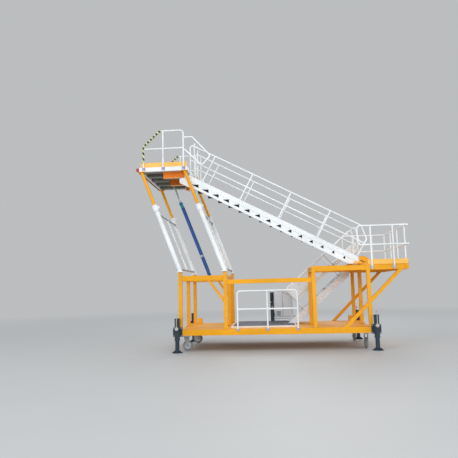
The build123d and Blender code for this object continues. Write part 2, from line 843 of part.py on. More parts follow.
# Upper stair: rounded covers outside the stringers' feet
cover_bottom = landing_top + cover_clearance
with BuildPart() as stair_foot_covers:
    for y, outward in zip(stringers_y, (-1, 1)):
        start = y + outward * stringer_thickness / 2 - (cover_thickness if outward < 0 else 0)
        with BuildSketch(Plane(origin=(0, start, 0), x_dir=(1, 0, 0), z_dir=(0, -1, 0))) as profile:
            with BuildLine():
                left, right = stair_foot_x - cover_left, stair_foot_x + cover_right
                centre = (right - cover_radius, landing_top + cover_shoulder)
                top = centre[1] + cover_radius
                Polyline((centre[0], top), (left, top), (left, cover_bottom), (right, cover_bottom),
                         (right, centre[1]))
                CenterArc(centre, cover_radius, 0, 90)
            make_face()
        extrude(profile.sketch, amount=-cover_thickness)
finish(stair_foot_covers, "stair_foot_covers")

# Lower stair: stringers from the chequer plate up to the landing's edge beam
lower_rise = (landing_top - chequer_top) / lower_step_count
lower_slope = lower_rise / lower_stair_going
lower_y = (lower_stair_offset, rear - lower_stair_rear_gap)
lower_cos = cos(atan2(lower_rise, lower_stair_going))
lower_sin = lower_slope * lower_cos
lower_drop = lower_stringer_depth / lower_cos


def lower_line(x, rise=0):
    """Point on the lower stair's nosing line at x, raised by a height."""
    return (x, right_tower_top - (landing_edge - x) * lower_slope + rise)


nose_foot_x = landing_edge - (right_tower_top - chequer_top) / lower_slope
with BuildPart() as lower_stair_stringers:
    outline = (
        lower_line(landing_edge),
        (nose_foot_x, chequer_top),
        (nose_foot_x + lower_drop / lower_slope, chequer_top),
        lower_line(landing_edge, -lower_drop),
    )
    for y in (lower_y[0], lower_y[1] - lower_stringer_thickness):
        plate(outline, y, lower_stringer_thickness)
finish(lower_stair_stringers, "lower_stair_stringers")

# Lower stair: treads between the stringers
with BuildPart() as lower_stair_treads:
    tread_span = (lower_y[0] + lower_stringer_thickness, lower_y[1] - lower_stringer_thickness)
    for i in range(1, lower_step_count):
        x = nose_foot_x + i * lower_stair_going
        z = chequer_top + i * lower_rise
        block((x, x + lower_tread_depth), tread_span, (z - lower_tread_thickness, z))
finish(lower_stair_treads, "lower_stair_treads")

# Lower stair: a hand rail hoop on each side, its double mid rail and posts square to the slope
lower_up = (-lower_sin, 0, lower_cos)
lower_post_x = [landing_edge - inset for inset in lower_post_insets]
lower_rail_end = landing_edge + lower_rail_reach
hand_height, *mid_heights = (h * lower_cos for h in (lower_rail_height, *reversed(lower_mid_heights)))
hoop_foot = lower_line(lower_post_x[0])
hoop_corner = (hoop_foot[0] - hand_height * lower_sin, hoop_foot[1] + hand_height * lower_cos)
slanted_stop = (rail_stop + rail_radius * lower_sin) / lower_cos
with BuildPart() as lower_stair_rails:
    for y in (lower_y[0] + lower_stringer_thickness / 2, lower_y[1] - lower_stringer_thickness / 2):
        hoop = (
            hoop_foot,
            hoop_corner,
            lower_line(lower_rail_end, lower_rail_height),
            (lower_rail_end, landing_top),
        )
        bent_tube([(x, y, z) for x, z in hoop], rail_radius, rail_bend)
        for height, rise in zip(reversed(mid_heights), lower_mid_heights):
            start = Vector(hoop_foot[0], y, hoop_foot[1]) + Vector(lower_up) * height
            x, z = lower_line(lower_rail_end, rise)
            rail(start, (x, y, z), (rail_stop, slanted_stop))
        for foot_x in lower_post_x[1:]:
            x, z = lower_line(foot_x)
            post((x, y, z), lower_up, (*reversed(mid_heights), hand_height))
finish(lower_stair_rails, "lower_stair_rails")

# Lower stair: pale guard panel on the front hand rail, between its first two posts
with BuildPart() as lower_stair_panel:
    corners = []
    span = (mid_heights[0], hand_height)
    for foot_x, heights in zip(lower_post_x[:2], (span, reversed(span))):
        x, z = lower_line(foot_x)
        corners += [(x - height * lower_sin, z + height * lower_cos) for height in heights]
    face_y = lower_y[0] + lower_stringer_thickness / 2 - rail_stop
    plate(corners, face_y - guard_panel_thickness, guard_panel_thickness)
finish(lower_stair_panel, "lower_stair_panel")


# Control cabinet on its feet, and the hydraulic power pack beside it
cabinet_left = walk_x[1] - cabinet_inset
cabinet_front = rear - cabinet_rear_inset - cabinet_depth
with BuildPart() as control_cabinet:
    x = (cabinet_left, cabinet_left + cabinet_width)
    y = (cabinet_front, cabinet_front + cabinet_depth)
    body_z = chequer_top + cabinet_foot
    block(x, y, (body_z, body_z + cabinet_height))
    for foot_x in (x[0] + cabinet_foot_inset, x[1] - cabinet_foot_inset):
        block(around(foot_x, cabinet_foot_width), y, (chequer_top, body_z))
finish(control_cabinet, "control_cabinet")

with BuildPart() as hydraulic_unit:
    x = (cabinet_left - unit_gap - unit_width, cabinet_left - unit_gap)
    y = (cabinet_front + unit_inset, cabinet_front + cabinet_depth - unit_inset)
    tank_top = chequer_top + tank_height
    block(x, y, (chequer_top, tank_top))
    motor_x = (x[0] + x[1]) / 2
    motor_y = (y[0] + y[1]) / 2
    tube((motor_x, motor_y, tank_top), (motor_x, motor_y, tank_top + motor_length), motor_radius)
finish(hydraulic_unit, "hydraulic_unit")

# Front guard rail on the base's front beam
front_rail_left = left_posts_x[1] + front_rail_gaps[0]
front_rail_right = right_posts_x[0] - front_rail_gaps[1]
front_post_z = base_top - front_rail_foot
with BuildPart() as front_guard_rail:
    y = front - rail_radius
    corners = (
        (front_rail_left, y, front_post_z),
        (front_rail_left, y, front_rail_top),
        (front_rail_right, y, front_rail_top),
        (front_rail_right, y, front_post_z),
    )
    bent_tube(corners, rail_radius, rail_bend)
    rail((front_rail_left, y, front_rail_mid), (front_rail_right, y, front_rail_mid))
    mid_x = (front_rail_left + front_rail_right) / 2
    heights = (front_rail_mid - front_post_z, front_rail_top - front_post_z)
    post((mid_x, y, front_post_z), upright, heights)
finish(front_guard_rail, "front_guard_rail")


# Screw jacks: tubes on their flange plates
jack_tube_y = base_width / 2 + flange_thickness + jack_tube_radius - jack_weld
flange_z = (base_underside - flange_overhang, base_underside - flange_overhang + flange_height)
with BuildPart() as jack_bodies:
    for name, side in sides:
        for x in jack_x:
            y = side * jack_tube_y
            tube((x, y, jack_tube_bottom), (x, y, jack_tube_top), jack_tube_radius)
            flange_y = sorted((side * base_width / 2, side * (base_width / 2 + flange_thickness)))
            block(around(x, flange_width), flange_y, flange_z)
            bore = (x, y, jack_tube_bottom - past), (x, y, jack_tube_top - jack_bore_end)
            tube(*bore, jack_leg_radius + running_gap, Mode.SUBTRACT)
finish(jack_bodies, "jack_bodies")

# Screw jacks: gear caps with their folded cranks
with BuildPart() as jack_cranks:
    for name, side in sides:
        for x in jack_x:
            y0 = side * jack_tube_y
            y1 = side * (jack_tube_y + jack_tube_radius + gear_cap_length)
            tube((x, y0, gear_height), (x, y1, gear_height), gear_cap_radius)
            y_crank = y1 - side * crank_inset
            crank_top = gear_height + crank_length
            tube((x, y_crank, gear_height), (x, y_crank, crank_top), crank_radius)
            handle_z = crank_top - crank_radius
            tube((x, y_crank, handle_z), (x, y_crank - side * handle_length, handle_z), handle_radius)
    for name, side in sides:
        for x in jack_x:
            y = side * jack_tube_y
            tube((x, y, jack_tube_bottom), (x, y, jack_tube_top), jack_tube_radius, Mode.SUBTRACT)
finish(jack_cranks, "jack_cranks")


# Screw jacks: sliding legs with their round feet, each moving by itself
jacks = [(f"{name}_{end}", x, side) for name, side in sides for end, x in zip(("left", "right"), jack_x)]
for jack_name, x, side in jacks:
    with BuildPart() as jack_foot:
        y = side * jack_tube_y
        tube((x, y, 0), (x, y, jack_foot_thickness), jack_foot_radius)
        leg_top = jack_tube_top - jack_bore_end - jack_travel - jack_top_gap
        tube((x, y, jack_foot_thickness), (x, y, leg_top), jack_leg_radius)
    finish(jack_foot, f"jack_foot_{jack_name}")

# Casters: place, heading of the trail in degrees
caster_x = (base_left + caster_insets_x[0], base_right - caster_insets_x[1])
caster_y = base_width / 2 - caster_inset_y
casters = (
    ("front_left", caster_x[0], -caster_y, 0),
    ("front_right", caster_x[1], -caster_y, 90),
    ("rear_left", caster_x[0], caster_y, 0),
    ("rear_right", caster_x[1], caster_y, 90),
)
plate_top = base_underside - mount_thickness
crown_top = plate_top - caster_plate_thickness - fork_gap
crown_bottom = crown_top - fork_crown

# Casters: corner plates under the base, each with its swivel plate and stem
with BuildPart() as caster_mounts:
    for name, x, y, heading in casters:
        corner_x = (base_left, base_left + mount_length) if x < 0 else (base_right - mount_length, base_right)
        corner_y = (front, front + mount_width) if y < 0 else (rear - mount_width, rear)
        block(corner_x, corner_y, (plate_top, base_underside))
        plate_z = (plate_top - caster_plate_thickness, plate_top)
        block(around(x, caster_plate_size), around(y, caster_plate_size), plate_z)
        tube((x, y, crown_bottom - stem_reach), (x, y, plate_top), stem_radius)
finish(caster_mounts, "caster_mounts")


# Casters: swivelling forks, then wheels on their axles
cheek_y = wheel_width / 2 + clearance
crown_length = fork_back + caster_trail + fork_front
drop = crown_bottom - wheel_radius
cheek_corners = (
    (-cheek_back, -drop),
    (cheek_front, -drop),
    (cheek_waist[1], 0),
    cheek_foot,
    (-cheek_foot[0], cheek_foot[1]),
    (-cheek_waist[0], 0),
)
for name, x, y, heading in casters:
    swivel = Plane(origin=(x, y, 0), x_dir=(cos(radians(heading)), sin(radians(heading)), 0))
    axle = swivel.from_local_coords(Vector(caster_trail, 0, wheel_radius))
    with BuildPart() as caster_fork:
        with BuildSketch(swivel.offset(crown_bottom)):
            with Locations((crown_length / 2 - fork_back, 0)):
                Rectangle(crown_length, 2 * (cheek_y + fork_cheek))
        extrude(amount=fork_crown)
        with BuildSketch(Plane(origin=axle, x_dir=swivel.x_dir, z_dir=swivel.y_dir)):
            with BuildLine():
                Polyline(*cheek_corners, close=True)
            make_face()
        extrude(amount=cheek_y + fork_cheek, both=True)
        with BuildSketch(Plane(origin=axle, x_dir=swivel.x_dir, z_dir=swivel.y_dir)):
            Rectangle(2 * crown_length, 2 * drop)
        extrude(amount=cheek_y, both=True, mode=Mode.SUBTRACT)
        with BuildSketch(swivel.offset(crown_bottom - past)):
            Circle(stem_radius + running_gap)
        extrude(amount=fork_crown + 2 * past, mode=Mode.SUBTRACT)
        with BuildSketch(Plane(origin=axle, x_dir=swivel.x_dir, z_dir=swivel.y_dir)):
            Circle(axle_radius)
        extrude(amount=cheek_y + fork_cheek, both=True)
    finish(caster_fork, f"caster_fork_{name}")
    with BuildPart() as caster_wheel:
        with BuildSketch(Plane(origin=axle, x_dir=swivel.x_dir, z_dir=swivel.y_dir)):
            Circle(wheel_radius)
            Circle(axle_radius + running_gap, mode=Mode.SUBTRACT)
        extrude(amount=wheel_width / 2, both=True)
        rims = caster_wheel.edges().filter_by(GeomType.CIRCLE).group_by(SortBy.RADIUS)[-1]
        fillet(rims, tyre_shoulder)
    finish(caster_wheel, f"caster_wheel_{name}")
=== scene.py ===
import bmesh
import bpy
import json
import math
import numpy
from itertools import product
from mathutils import Matrix, Vector


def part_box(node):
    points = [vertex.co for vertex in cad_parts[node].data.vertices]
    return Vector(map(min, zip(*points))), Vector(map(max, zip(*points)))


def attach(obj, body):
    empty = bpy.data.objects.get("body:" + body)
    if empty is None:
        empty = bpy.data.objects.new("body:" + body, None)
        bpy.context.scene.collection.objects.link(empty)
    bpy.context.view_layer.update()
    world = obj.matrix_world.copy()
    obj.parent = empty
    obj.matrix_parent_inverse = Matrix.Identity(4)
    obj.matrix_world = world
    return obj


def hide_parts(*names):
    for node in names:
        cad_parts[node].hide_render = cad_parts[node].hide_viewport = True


# Finishes, fittings and studio for the maintenance stand, in metres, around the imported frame.

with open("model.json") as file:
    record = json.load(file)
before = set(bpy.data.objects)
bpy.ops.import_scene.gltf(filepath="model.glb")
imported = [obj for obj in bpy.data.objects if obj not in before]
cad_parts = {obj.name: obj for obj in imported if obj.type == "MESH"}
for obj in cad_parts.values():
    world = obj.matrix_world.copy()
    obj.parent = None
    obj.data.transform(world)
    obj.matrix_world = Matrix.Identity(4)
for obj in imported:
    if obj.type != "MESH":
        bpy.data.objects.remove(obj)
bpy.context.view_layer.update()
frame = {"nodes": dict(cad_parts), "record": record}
nodes = frame["nodes"]

# Camera fitted to the photograph: place, turns in radians, lens for a 36 mm sensor
CAMERA_PLACE = (0.0015, -15.3013, 1.7128)
CAMERA_YAW, CAMERA_PITCH, CAMERA_ROLL = -0.080673, 0.120740, -0.024055
CAMERA_LENS = 38.95

X, Y, Z = Vector((1, 0, 0)), Vector((0, 1, 0)), Vector((0, 0, 1))
CORNERS = ("front_left", "front_right", "rear_left", "rear_right")

# Radii of rails, weld beads and bolt heads, and the cut of a plate's edges
RAIL, BEAD, TIE_BEAD, RING_BEAD = 0.021, 0.0045, 0.005, 0.006
BOLT, FLANGE_BOLT, SMALL_BOLT = 0.011, 0.009, 0.008
CUT = 0.002

# Base: its beams' places across, and the plates under the posts
ROWS = (-1.35, 0.0, 1.35)
POST_PLATE = 0.008

# Legs: directions along and square to them, foot plate, radii of tube and collar, reach of the knobs
LEG_LEAN = math.radians(20.8)
LEG = Vector((-math.sin(LEG_LEAN), 0, math.cos(LEG_LEAN)))
ACROSS = Vector((LEG.z, 0, -LEG.x))
FOOT_PLATE, LEG_TUBE, COLLAR, KNOB_REACH = 0.02, 0.065, 0.080, 0.125

# Upper stair: openings beside the treads and what each one loses in width, depths of bar and link bar,
# the web's lap on both, depth of the first wedge of painted shade under the link bar, radius of the foot
# covers
HOLE_SHIFT, HOLE_LENGTH = 0.168, 0.206
HOLE_WIDE, HOLE_LOSS = 0.234, 0.0114
BAR_DEPTH, LINK_TOP, LINK_FOOT = 0.140, 0.226, 0.301
LAP = 0.004
UNDERSIDE_SHADE_DEPTH = 0.078
COVER_ARC = 0.173

# Lower stair: direction square to it, and how far along that its rails' feet lie
LANDING_TOP = 2.30
LOWER_ANGLE = math.atan2(0.206875, 0.239)
LOWER_UP = Vector((-math.sin(LOWER_ANGLE), 0, math.cos(LOWER_ANGLE)))
LOWER_LEVEL = Vector((2.40, 0, 2.29)).dot(LOWER_UP)

# Cabinet and power pack
CABINET_TALL = 0.94
MOTOR_TALL, MOTOR_RADIUS = 0.35, 0.055

# Jacks and casters
FLANGE_FOOT = 0.426
JACK_TUBE, JACK_LEG = 0.071, 0.058
GEAR_HEIGHT, GEAR_REACH = 0.655, 0.055
CRANK_INSET, CRANK_TALL = 0.014, 0.385
WHEEL_WIDE, CASTER_TRAIL = 0.07, 0.06

# Screen colours that several finishes share
ZINC = (176, 180, 184)
BLOOM = (206, 206, 202)
STEEL = (150, 152, 156)
PRIMER = (120, 84, 56)
DIRT = (122, 116, 106)
RED = (190, 40, 36)
BLACK = (26, 26, 28)
BACKDROP = (186, 188, 190)


def srgb(colour):
    """Linear colour from the three 0 to 255 values of a screen."""
    return (*[(c / 255) ** 2.2 for c in colour], 1)


# Materials

class Nodes:
    """Tree of shader nodes, with short ways to add to it."""

    def __init__(self, tree):
        self.tree = tree

    def add(self, kind, inputs=None, **settings):
        """New node of a kind, with its settings and inputs."""
        made = self.tree.nodes.new("ShaderNode" + kind)
        for key, value in settings.items():
            setattr(made, key, value)
        self.feed(made, inputs or {})
        return made

    def feed(self, made, inputs):
        """Inputs of a node, each a value or a socket to link."""
        for key, value in inputs.items():
            if isinstance(value, bpy.types.NodeSocket):
                self.tree.links.new(value, made.inputs[key])
            else:
                made.inputs[key].default_value = value

    def place(self, stretch=(1, 1, 1)):
        """Object coordinates, stretched."""
        where = self.add("TexCoord").outputs["Object"]
        return self.add("Mapping", {0: where, "Scale": stretch}).outputs[0]

    def noise(self, scale, detail=4, stretch=(1, 1, 1)):
        """Noise value over the object."""
        inputs = {"Vector": self.place(stretch), "Scale": scale, "Detail": detail}
        return self.add("TexNoise", inputs).outputs[0]

    def sum(self, operation, a, b=0.0):
        """Result of one sum on two values or sockets."""
        return self.add("Math", {0: a, 1: b}, operation=operation).outputs[0]

    def span(self, value, low, high, out_low=0.0, out_high=1.0):
        """Value mapped from one range to another, held at its ends."""
        return self.add("MapRange", {0: value, 1: low, 2: high, 3: out_low, 4: out_high}).outputs[0]

    def cloud(self, scale, detail, low, high, out_low=0.0, out_high=1.0, stretch=(1, 1, 1)):
        """Noise value mapped from one range to another."""
        return self.span(self.noise(scale, detail, stretch), low, high, out_low, out_high)

    def mix(self, share, a, b, blend="MIX"):
        """Colour between two colours or sockets."""
        return self.add("MixRGB", {0: share, 1: a, 2: b}, blend_type=blend).outputs[0]

    def tint(self, colour, tone):
        """Colour multiplied by a value."""
        grey = self.add("CombineColor", {0: tone, 1: tone, 2: tone}).outputs[0]
        return self.mix(1.0, colour, grey, "MULTIPLY")

    def bevel(self, radius):
        """Normal that is rounded over sharp edges."""
        return self.add("Bevel", {"Radius": radius}, samples=4).outputs[0]

    def edges(self, soft):
        """High where a rounded normal leaves the surface's own."""
        true = self.add("NewGeometry").outputs["Normal"]
        facing = self.add("VectorMath", {0: soft, 1: true}, operation="DOT_PRODUCT").outputs["Value"]
        return self.span(facing, 0.99, 0.80)

    def seen(self):
        """1 for rays from the camera, through glass and off gloss, 0 for the rays that light."""
        path = self.add("LightPath").outputs
        indirect = self.sum("ADD", path["Is Glossy Ray"], path["Is Transmission Ray"])
        return self.sum("MINIMUM", self.sum("ADD", path["Is Camera Ray"], indirect), 1.0)


SLOTS = {}
LOOKS = {}


class Finish(Nodes):
    """New material. The first one for a slot is also the look of that slot's CAD nodes."""

    def __init__(self, name, slot=None):
        self.material = bpy.data.materials.new(name)
        self.material.use_nodes = True
        super().__init__(self.material.node_tree)
        self.shader = self.tree.nodes["Principled BSDF"]
        if slot:
            SLOTS[name] = slot
            LOOKS.setdefault(slot, self.material)

    def surface(self, colour, rough, height, strength, distance=0.001, normal=None, metal=0.0, gloss=0.5):
        """The finished material, from its colour, roughness, bump and the shader's plain values."""
        bump = {"Height": height, "Strength": strength, "Distance": distance}
        if normal:
            bump["Normal"] = normal
        self.feed(self.shader, {"Base Color": colour, "Roughness": rough, "Metallic": metal,
                                "Specular IOR Level": gloss, "Normal": self.add("Bump", bump).outputs[0]})
        return self.material


def painted(name, slot, colour, rough=0.42, dirt=0.35, wear=0.6, bare=PRIMER, grain=180):
    """Sprayed steel: uneven coat, dirt that runs down, chipped and rubbed edges, fine orange peel."""
    look = Finish(name, slot)
    coat = look.tint(srgb(colour), look.cloud(1.3, 3, 0.3, 0.7, 0.90, 1.06))
    runs = look.cloud(2.2, 6, 0.50, 0.78, stretch=(5, 5, 0.5))
    soiled = look.sum("MULTIPLY", look.sum("MULTIPLY", runs, look.cloud(3.0, 5, 0.45, 0.75)), dirt)
    coat = look.mix(soiled, coat, srgb(DIRT))
    soft = look.bevel(0.006)
    rubbed = look.sum("MULTIPLY", look.edges(soft), look.cloud(14, 5, 0.46, 0.62))
    specks = look.cloud(38, 3, 0.735, 0.75)
    bared = look.sum("MULTIPLY", look.sum("MAXIMUM", rubbed, specks), wear)
    dull = look.sum("ADD", look.cloud(9, 4, 0.3, 0.7, rough - 0.06, rough + 0.1),
                    look.sum("MULTIPLY", soiled, 0.4))
    height = look.sum("SUBTRACT", look.sum("MULTIPLY", look.noise(grain, 2), 0.25), bared)
    return look.surface(look.mix(bared, coat, srgb(bare)), dull, height, 0.18, 0.002, soft, gloss=0.25)


def zinc_coat(name, slot, colour, metal=0.55, rough=0.42, spangle=55, dirt=0.2):
    """Hot dipped zinc: grey spangles, white bloom and dull runs."""
    look = Finish(name, slot)
    cells = look.add("TexVoronoi", {"Vector": look.place(), "Scale": spangle}, feature="F1").outputs["Color"]
    shade = look.span(look.add("SeparateColor", {0: cells}).outputs[0], 0, 1, 0.86, 1.08)
    bloom = look.cloud(4, 6, 0.52, 0.75, 0, 0.35, (2, 2, 0.7))
    grey = look.mix(bloom, look.tint(srgb(colour), shade), srgb(BLOOM))
    coat = look.mix(look.cloud(2.4, 5, 0.55, 0.8, 0, dirt), grey, srgb(DIRT))
    dull = look.span(shade, 0.86, 1.08, rough + 0.14, rough - 0.08)
    return look.surface(coat, dull, look.noise(90, 3), 0.1, normal=look.bevel(0.003), metal=metal)


def metal(name, slot, colour, rough, stretch=(1, 1, 60), scale=8):
    """Bare or plated metal with fine drawn lines."""
    look = Finish(name, slot)
    lines = look.noise(scale, 5, stretch)
    coat = look.mix(look.span(lines, 0.3, 0.7, 0, 0.35), srgb(colour), srgb(STEEL))
    return look.surface(coat, look.span(lines, 0.3, 0.7, rough - 0.05, rough + 0.1), lines, 0.06, metal=0.9)


def rubber(name, slot, colour, rough=0.75):
    """Moulded rubber or plastic: dusty, scuffed, fine grain."""
    look = Finish(name, slot)
    coat = look.mix(look.cloud(7, 6, 0.45, 0.75, 0, 0.35), srgb(colour), srgb(DIRT))
    scuffs = look.cloud(25, 4, 0.3, 0.7, rough - 0.1, rough + 0.12)
    return look.surface(coat, scuffs, look.noise(240, 3), 0.25)


def striped(name, slot, dark, light, ways, pitch):
    """Slanted warning stripes: bands of two colours along a direction of object space."""
    look = Finish(name, slot)
    where = look.add("TexCoord").outputs["Object"]
    along = look.add("VectorMath", {0: where, 1: ways}, operation="DOT_PRODUCT").outputs["Value"]
    side = look.sum("GREATER_THAN", look.sum("FRACT", look.sum("MULTIPLY", along, 1 / pitch)), 0.5)
    faded = look.cloud(12, 5, 0.5, 0.8, 0, 0.4)
    coat = look.mix(faded, look.mix(side, srgb(dark), srgb(light)), srgb(DIRT))
    return look.surface(coat, look.cloud(18, 4, 0.3, 0.7, 0.4, 0.65), look.noise(160, 3), 0.15)


metal("rod_plating", "rod_chrome", (205, 208, 212), 0.14)
striped("hazard_stripes", "hazard_paint", BLACK, (216, 218, 142), (1, 0, 1), 0.16)
striped("bumper_stripes", "bumper_rubber", BLACK, RED, (0, 1, 0.6), 0.40)
rubber("grey_tyre", "caster_tyre", (140, 142, 144))
yellow = painted("yellow_coat", "yellow_paint", (243, 168, 26))
pale_yellow = painted("pale_yellow_coat", "yellow_paint", (252, 194, 98), dirt=0.25)
orange = painted("orange_coat", "orange_paint", (228, 116, 14))
# Painted highlight: a paler copy of the orange coat for the brackets' flat flanges, where they catch the
# light
highlit_orange = painted("highlit_orange_coat", "orange_paint", (250, 190, 120), dirt=0.2, wear=0.3)
white = painted("white_coat", "white_paint", (239, 243, 245), 0.46, dirt=0.14, wear=0.22, bare=ZINC)
pale_blue = painted("pale_blue_coat", "pale_blue_paint", (196, 212, 230), dirt=0.2, wear=0.2, bare=ZINC)
lilac = painted("lilac_coat", "pale_blue_paint", (170, 160, 190), dirt=0.25, wear=0.3, bare=STEEL)
cabinet_grey = painted("cabinet_coat", "cabinet_grey", (218, 224, 229), 0.5, 0.1, 0.15, ZINC, 320)
dark = painted("dark_coat", "dark_paint", (56, 68, 80), 0.5, 0.5, 0.5, STEEL)
# Painted shade: a near-black coat for plates that stand in for shade, in the stair's openings, under its link
# bar and in the foot covers' slots
shade = painted("shadow_coat", "dark_paint", (36, 42, 46), 0.7, 0.2, 0.2, STEEL)
seam_grey = painted("seam_coat", "dark_paint", (150, 154, 156), 0.6, 0.3, 0.1, STEEL)
blue = painted("blue_coat", "cylinder_blue", (48, 88, 158), 0.32, 0.3, 0.3, STEEL)
teal = painted("teal_coat", "cylinder_blue", (58, 150, 160), 0.38, 0.2, 0.3, STEEL)
slats = zinc_coat("slat_zinc", "slat_grey", (120, 122, 112), 0.3, 0.55)
slate = zinc_coat("chequer_slate", "slat_grey", (98, 102, 112), 0.25, 0.5, 40)
zinc = zinc_coat("zinc", "galvanised", ZINC)
aluminium = zinc_coat("mill_aluminium", "aluminium", (196, 200, 204), 0.45, 0.38, 9)
pale_zinc = zinc_coat("pale_zinc", "aluminium", (226, 234, 242), 0.05, 0.45, 34, 0.03)
bolt_steel = metal("bolt_plating", "galvanised", (186, 188, 186), 0.34, (1, 1, 1), 30)
black_rubber = rubber("black_rubber", "bumper_rubber", (34, 34, 36))
black_plastic = rubber("black_plastic", "dark_paint", BLACK, 0.5)
red_plastic = rubber("red_plastic", "dark_paint", RED, 0.4)

OWN_LOOKS = {"chequer_deck": slate, "platform_kick_plates": pale_yellow, "landing_kick_plates": pale_yellow,
             "lower_stair_rails": white, "lower_stair_stringers": pale_zinc, "lower_stair_panel": pale_zinc}
for part in frame["record"]["subparts"]:
    looks = nodes[part["node"]].data.materials
    looks.clear()
    looks.append(OWN_LOOKS.get(part["node"], LOOKS[part["material_slot"]]))


def studio():
    """Pale floor and background, soft lights, and the camera of the photograph."""
    scene = bpy.context.scene
    scene.view_settings.view_transform = "Standard"
    scene.world = bpy.data.worlds.new("studio")
    scene.world.use_nodes = True
    sky = Nodes(scene.world.node_tree)
    sky.tree.nodes.clear()
    backing = sky.add("Background", {"Color": srgb(BACKDROP), "Strength": 1.0})
    fill = sky.add("Background", {"Color": (0.92, 0.96, 1.0, 1), "Strength": 0.72})
    both = sky.add("MixShader", {0: sky.seen(), 1: fill.outputs[0], 2: backing.outputs[0]})
    sky.add("OutputWorld", {0: both.outputs[0]})

    disc = bmesh.new()
    bmesh.ops.create_circle(disc, cap_ends=True, segments=96, radius=150)
    floor = link(disc, "floor")
    look = Finish("pale_floor")
    where = look.add("TexCoord").outputs["Object"]
    distance = look.add("VectorMath", {0: where}, operation="LENGTH").outputs["Value"]
    cloud = look.mix(look.cloud(0.8, 4, 0.3, 0.7, 0, 0.3), srgb((190, 191, 191)), srgb((183, 184, 184)))
    look.feed(look.shader, {"Base Color": cloud, "Roughness": 0.55})
    glow = look.add("Emission", {"Color": srgb(BACKDROP), "Strength": 1.0})
    share = look.sum("MULTIPLY", look.span(distance, 7, 28), look.seen())
    both = look.add("MixShader", {0: share, 1: look.shader.outputs[0], 2: glow.outputs[0]})
    look.feed(look.tree.nodes["Material Output"], {"Surface": both.outputs[0]})
    floor.data.materials.append(look.material)

    for name, spot, size, power in (
        ("key", (-9, -13, 13), 9, 830),
        ("fill", (12, -10, 8), 9, 400),
        ("front", (2, -21, 7), 10, 900),
        ("back", (2, 14, 11), 9, 560),
    ):
        lamp = bpy.data.lights.new(name, "AREA")
        lamp.shape, lamp.size, lamp.energy = "DISK", size, power
        holder = in_scene(name, lamp)
        holder.location = spot
        holder.rotation_mode = "QUATERNION"
        holder.rotation_quaternion = (Vector((0, 0, 2.5)) - Vector(spot)).to_track_quat("-Z", "Y")

    level = Vector((math.cos(CAMERA_YAW), -math.sin(CAMERA_YAW), 0))
    forward = Z.cross(level) * math.cos(CAMERA_PITCH) + Z * math.sin(CAMERA_PITCH)
    right = level * math.cos(CAMERA_ROLL) + level.cross(forward) * math.sin(CAMERA_ROLL)
    turn = Matrix((right, right.cross(forward), -forward)).transposed()
    camera = in_scene("camera", bpy.data.cameras.new("camera"))
    camera.data.lens = CAMERA_LENS
    camera.matrix_world = Matrix.Translation(CAMERA_PLACE) @ turn.to_4x4()
    scene.camera = camera


def in_scene(name, data):
    """New object of the scene."""
    made = bpy.data.objects.new(name, data)
    bpy.context.scene.collection.objects.link(made)
    return made


def link(shape, name):
    """Object in the scene from a finished bmesh, smooth but for its sharp edges."""
    mesh = bpy.data.meshes.new(name)
    shape.to_mesh(mesh)
    shape.free()
    for face in mesh.polygons:
        face.use_smooth = True
    mesh.set_sharp_from_angle(angle=math.radians(38))
    return in_scene(name, mesh)


# Reading the frame

def box(name):
    """Lowest and highest corner of a CAD node."""
    return [Vector(corner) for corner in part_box(name)]


def solids(name):
    """Points of each separate solid of a CAD node."""
    shape = bmesh.new()
    shape.from_mesh(nodes[name].data)
    bmesh.ops.remove_doubles(shape, verts=shape.verts, dist=1e-6)
    for vert in shape.verts:
        vert.tag = False
    groups = []
    for first in shape.verts:
        if first.tag:
            continue
        first.tag = True
        found, waiting = [], [first]
        while waiting:
            vert = waiting.pop()
            found.append(vert.co.copy())
            for edge in vert.link_edges:
                other = edge.other_vert(vert)
                if not other.tag:
                    other.tag = True
                    waiting.append(other)
        groups.append(found)
    shape.free()
    return groups


def extent(points):
    """Lowest and highest corner of some points."""
    return [Vector([pick(point[i] for point in points) for i in range(3)]) for pick in (min, max)]


def centre(ends):
    """Middle between two corners."""
    return (ends[0] + ends[1]) / 2


def extents(name):
    """Lowest and highest corner of each solid of a node, from front to rear."""
    return sorted((extent(points) for points in solids(name)), key=lambda ends: ends[0].y)


def runs_along_x(low, high):
    """Whether a level box is longer along x than along y."""
    return high.x - low.x > high.y - low.y


def feet(name, up=Z):
    """Centres of the ends that lie lowest along a direction, in each solid of a node."""
    spots = []
    for points in solids(name):
        lowest = min(point.dot(up) for point in points)
        ends = [point for point in points if point.dot(up) < lowest + 0.002]
        while ends:
            near = [point for point in ends if (point - ends[0]).length < 0.3]
            spots.append(sum(near, Vector()) / len(near))
            ends = [point for point in ends if (point - ends[0]).length >= 0.3]
    return spots


def rods(name):
    """Ends and radius of each straight round bar of a node."""
    found = []
    for points in solids(name):
        cloud = numpy.array([tuple(point) for point in points])
        middle = (cloud.max(0) + cloud.min(0)) / 2
        way = numpy.linalg.svd(cloud - middle, full_matrices=False)[2][0]
        along = (cloud - middle) @ way
        off = numpy.linalg.norm(cloud - middle - numpy.outer(along, way), axis=1)
        if off.max() < RAIL * 1.3:
            ends = [Vector(middle + way * reach) for reach in (along.min(), along.max())]
            found.append((*sorted(ends, key=lambda end: end.z), off.max()))
    return found


# Building pieces

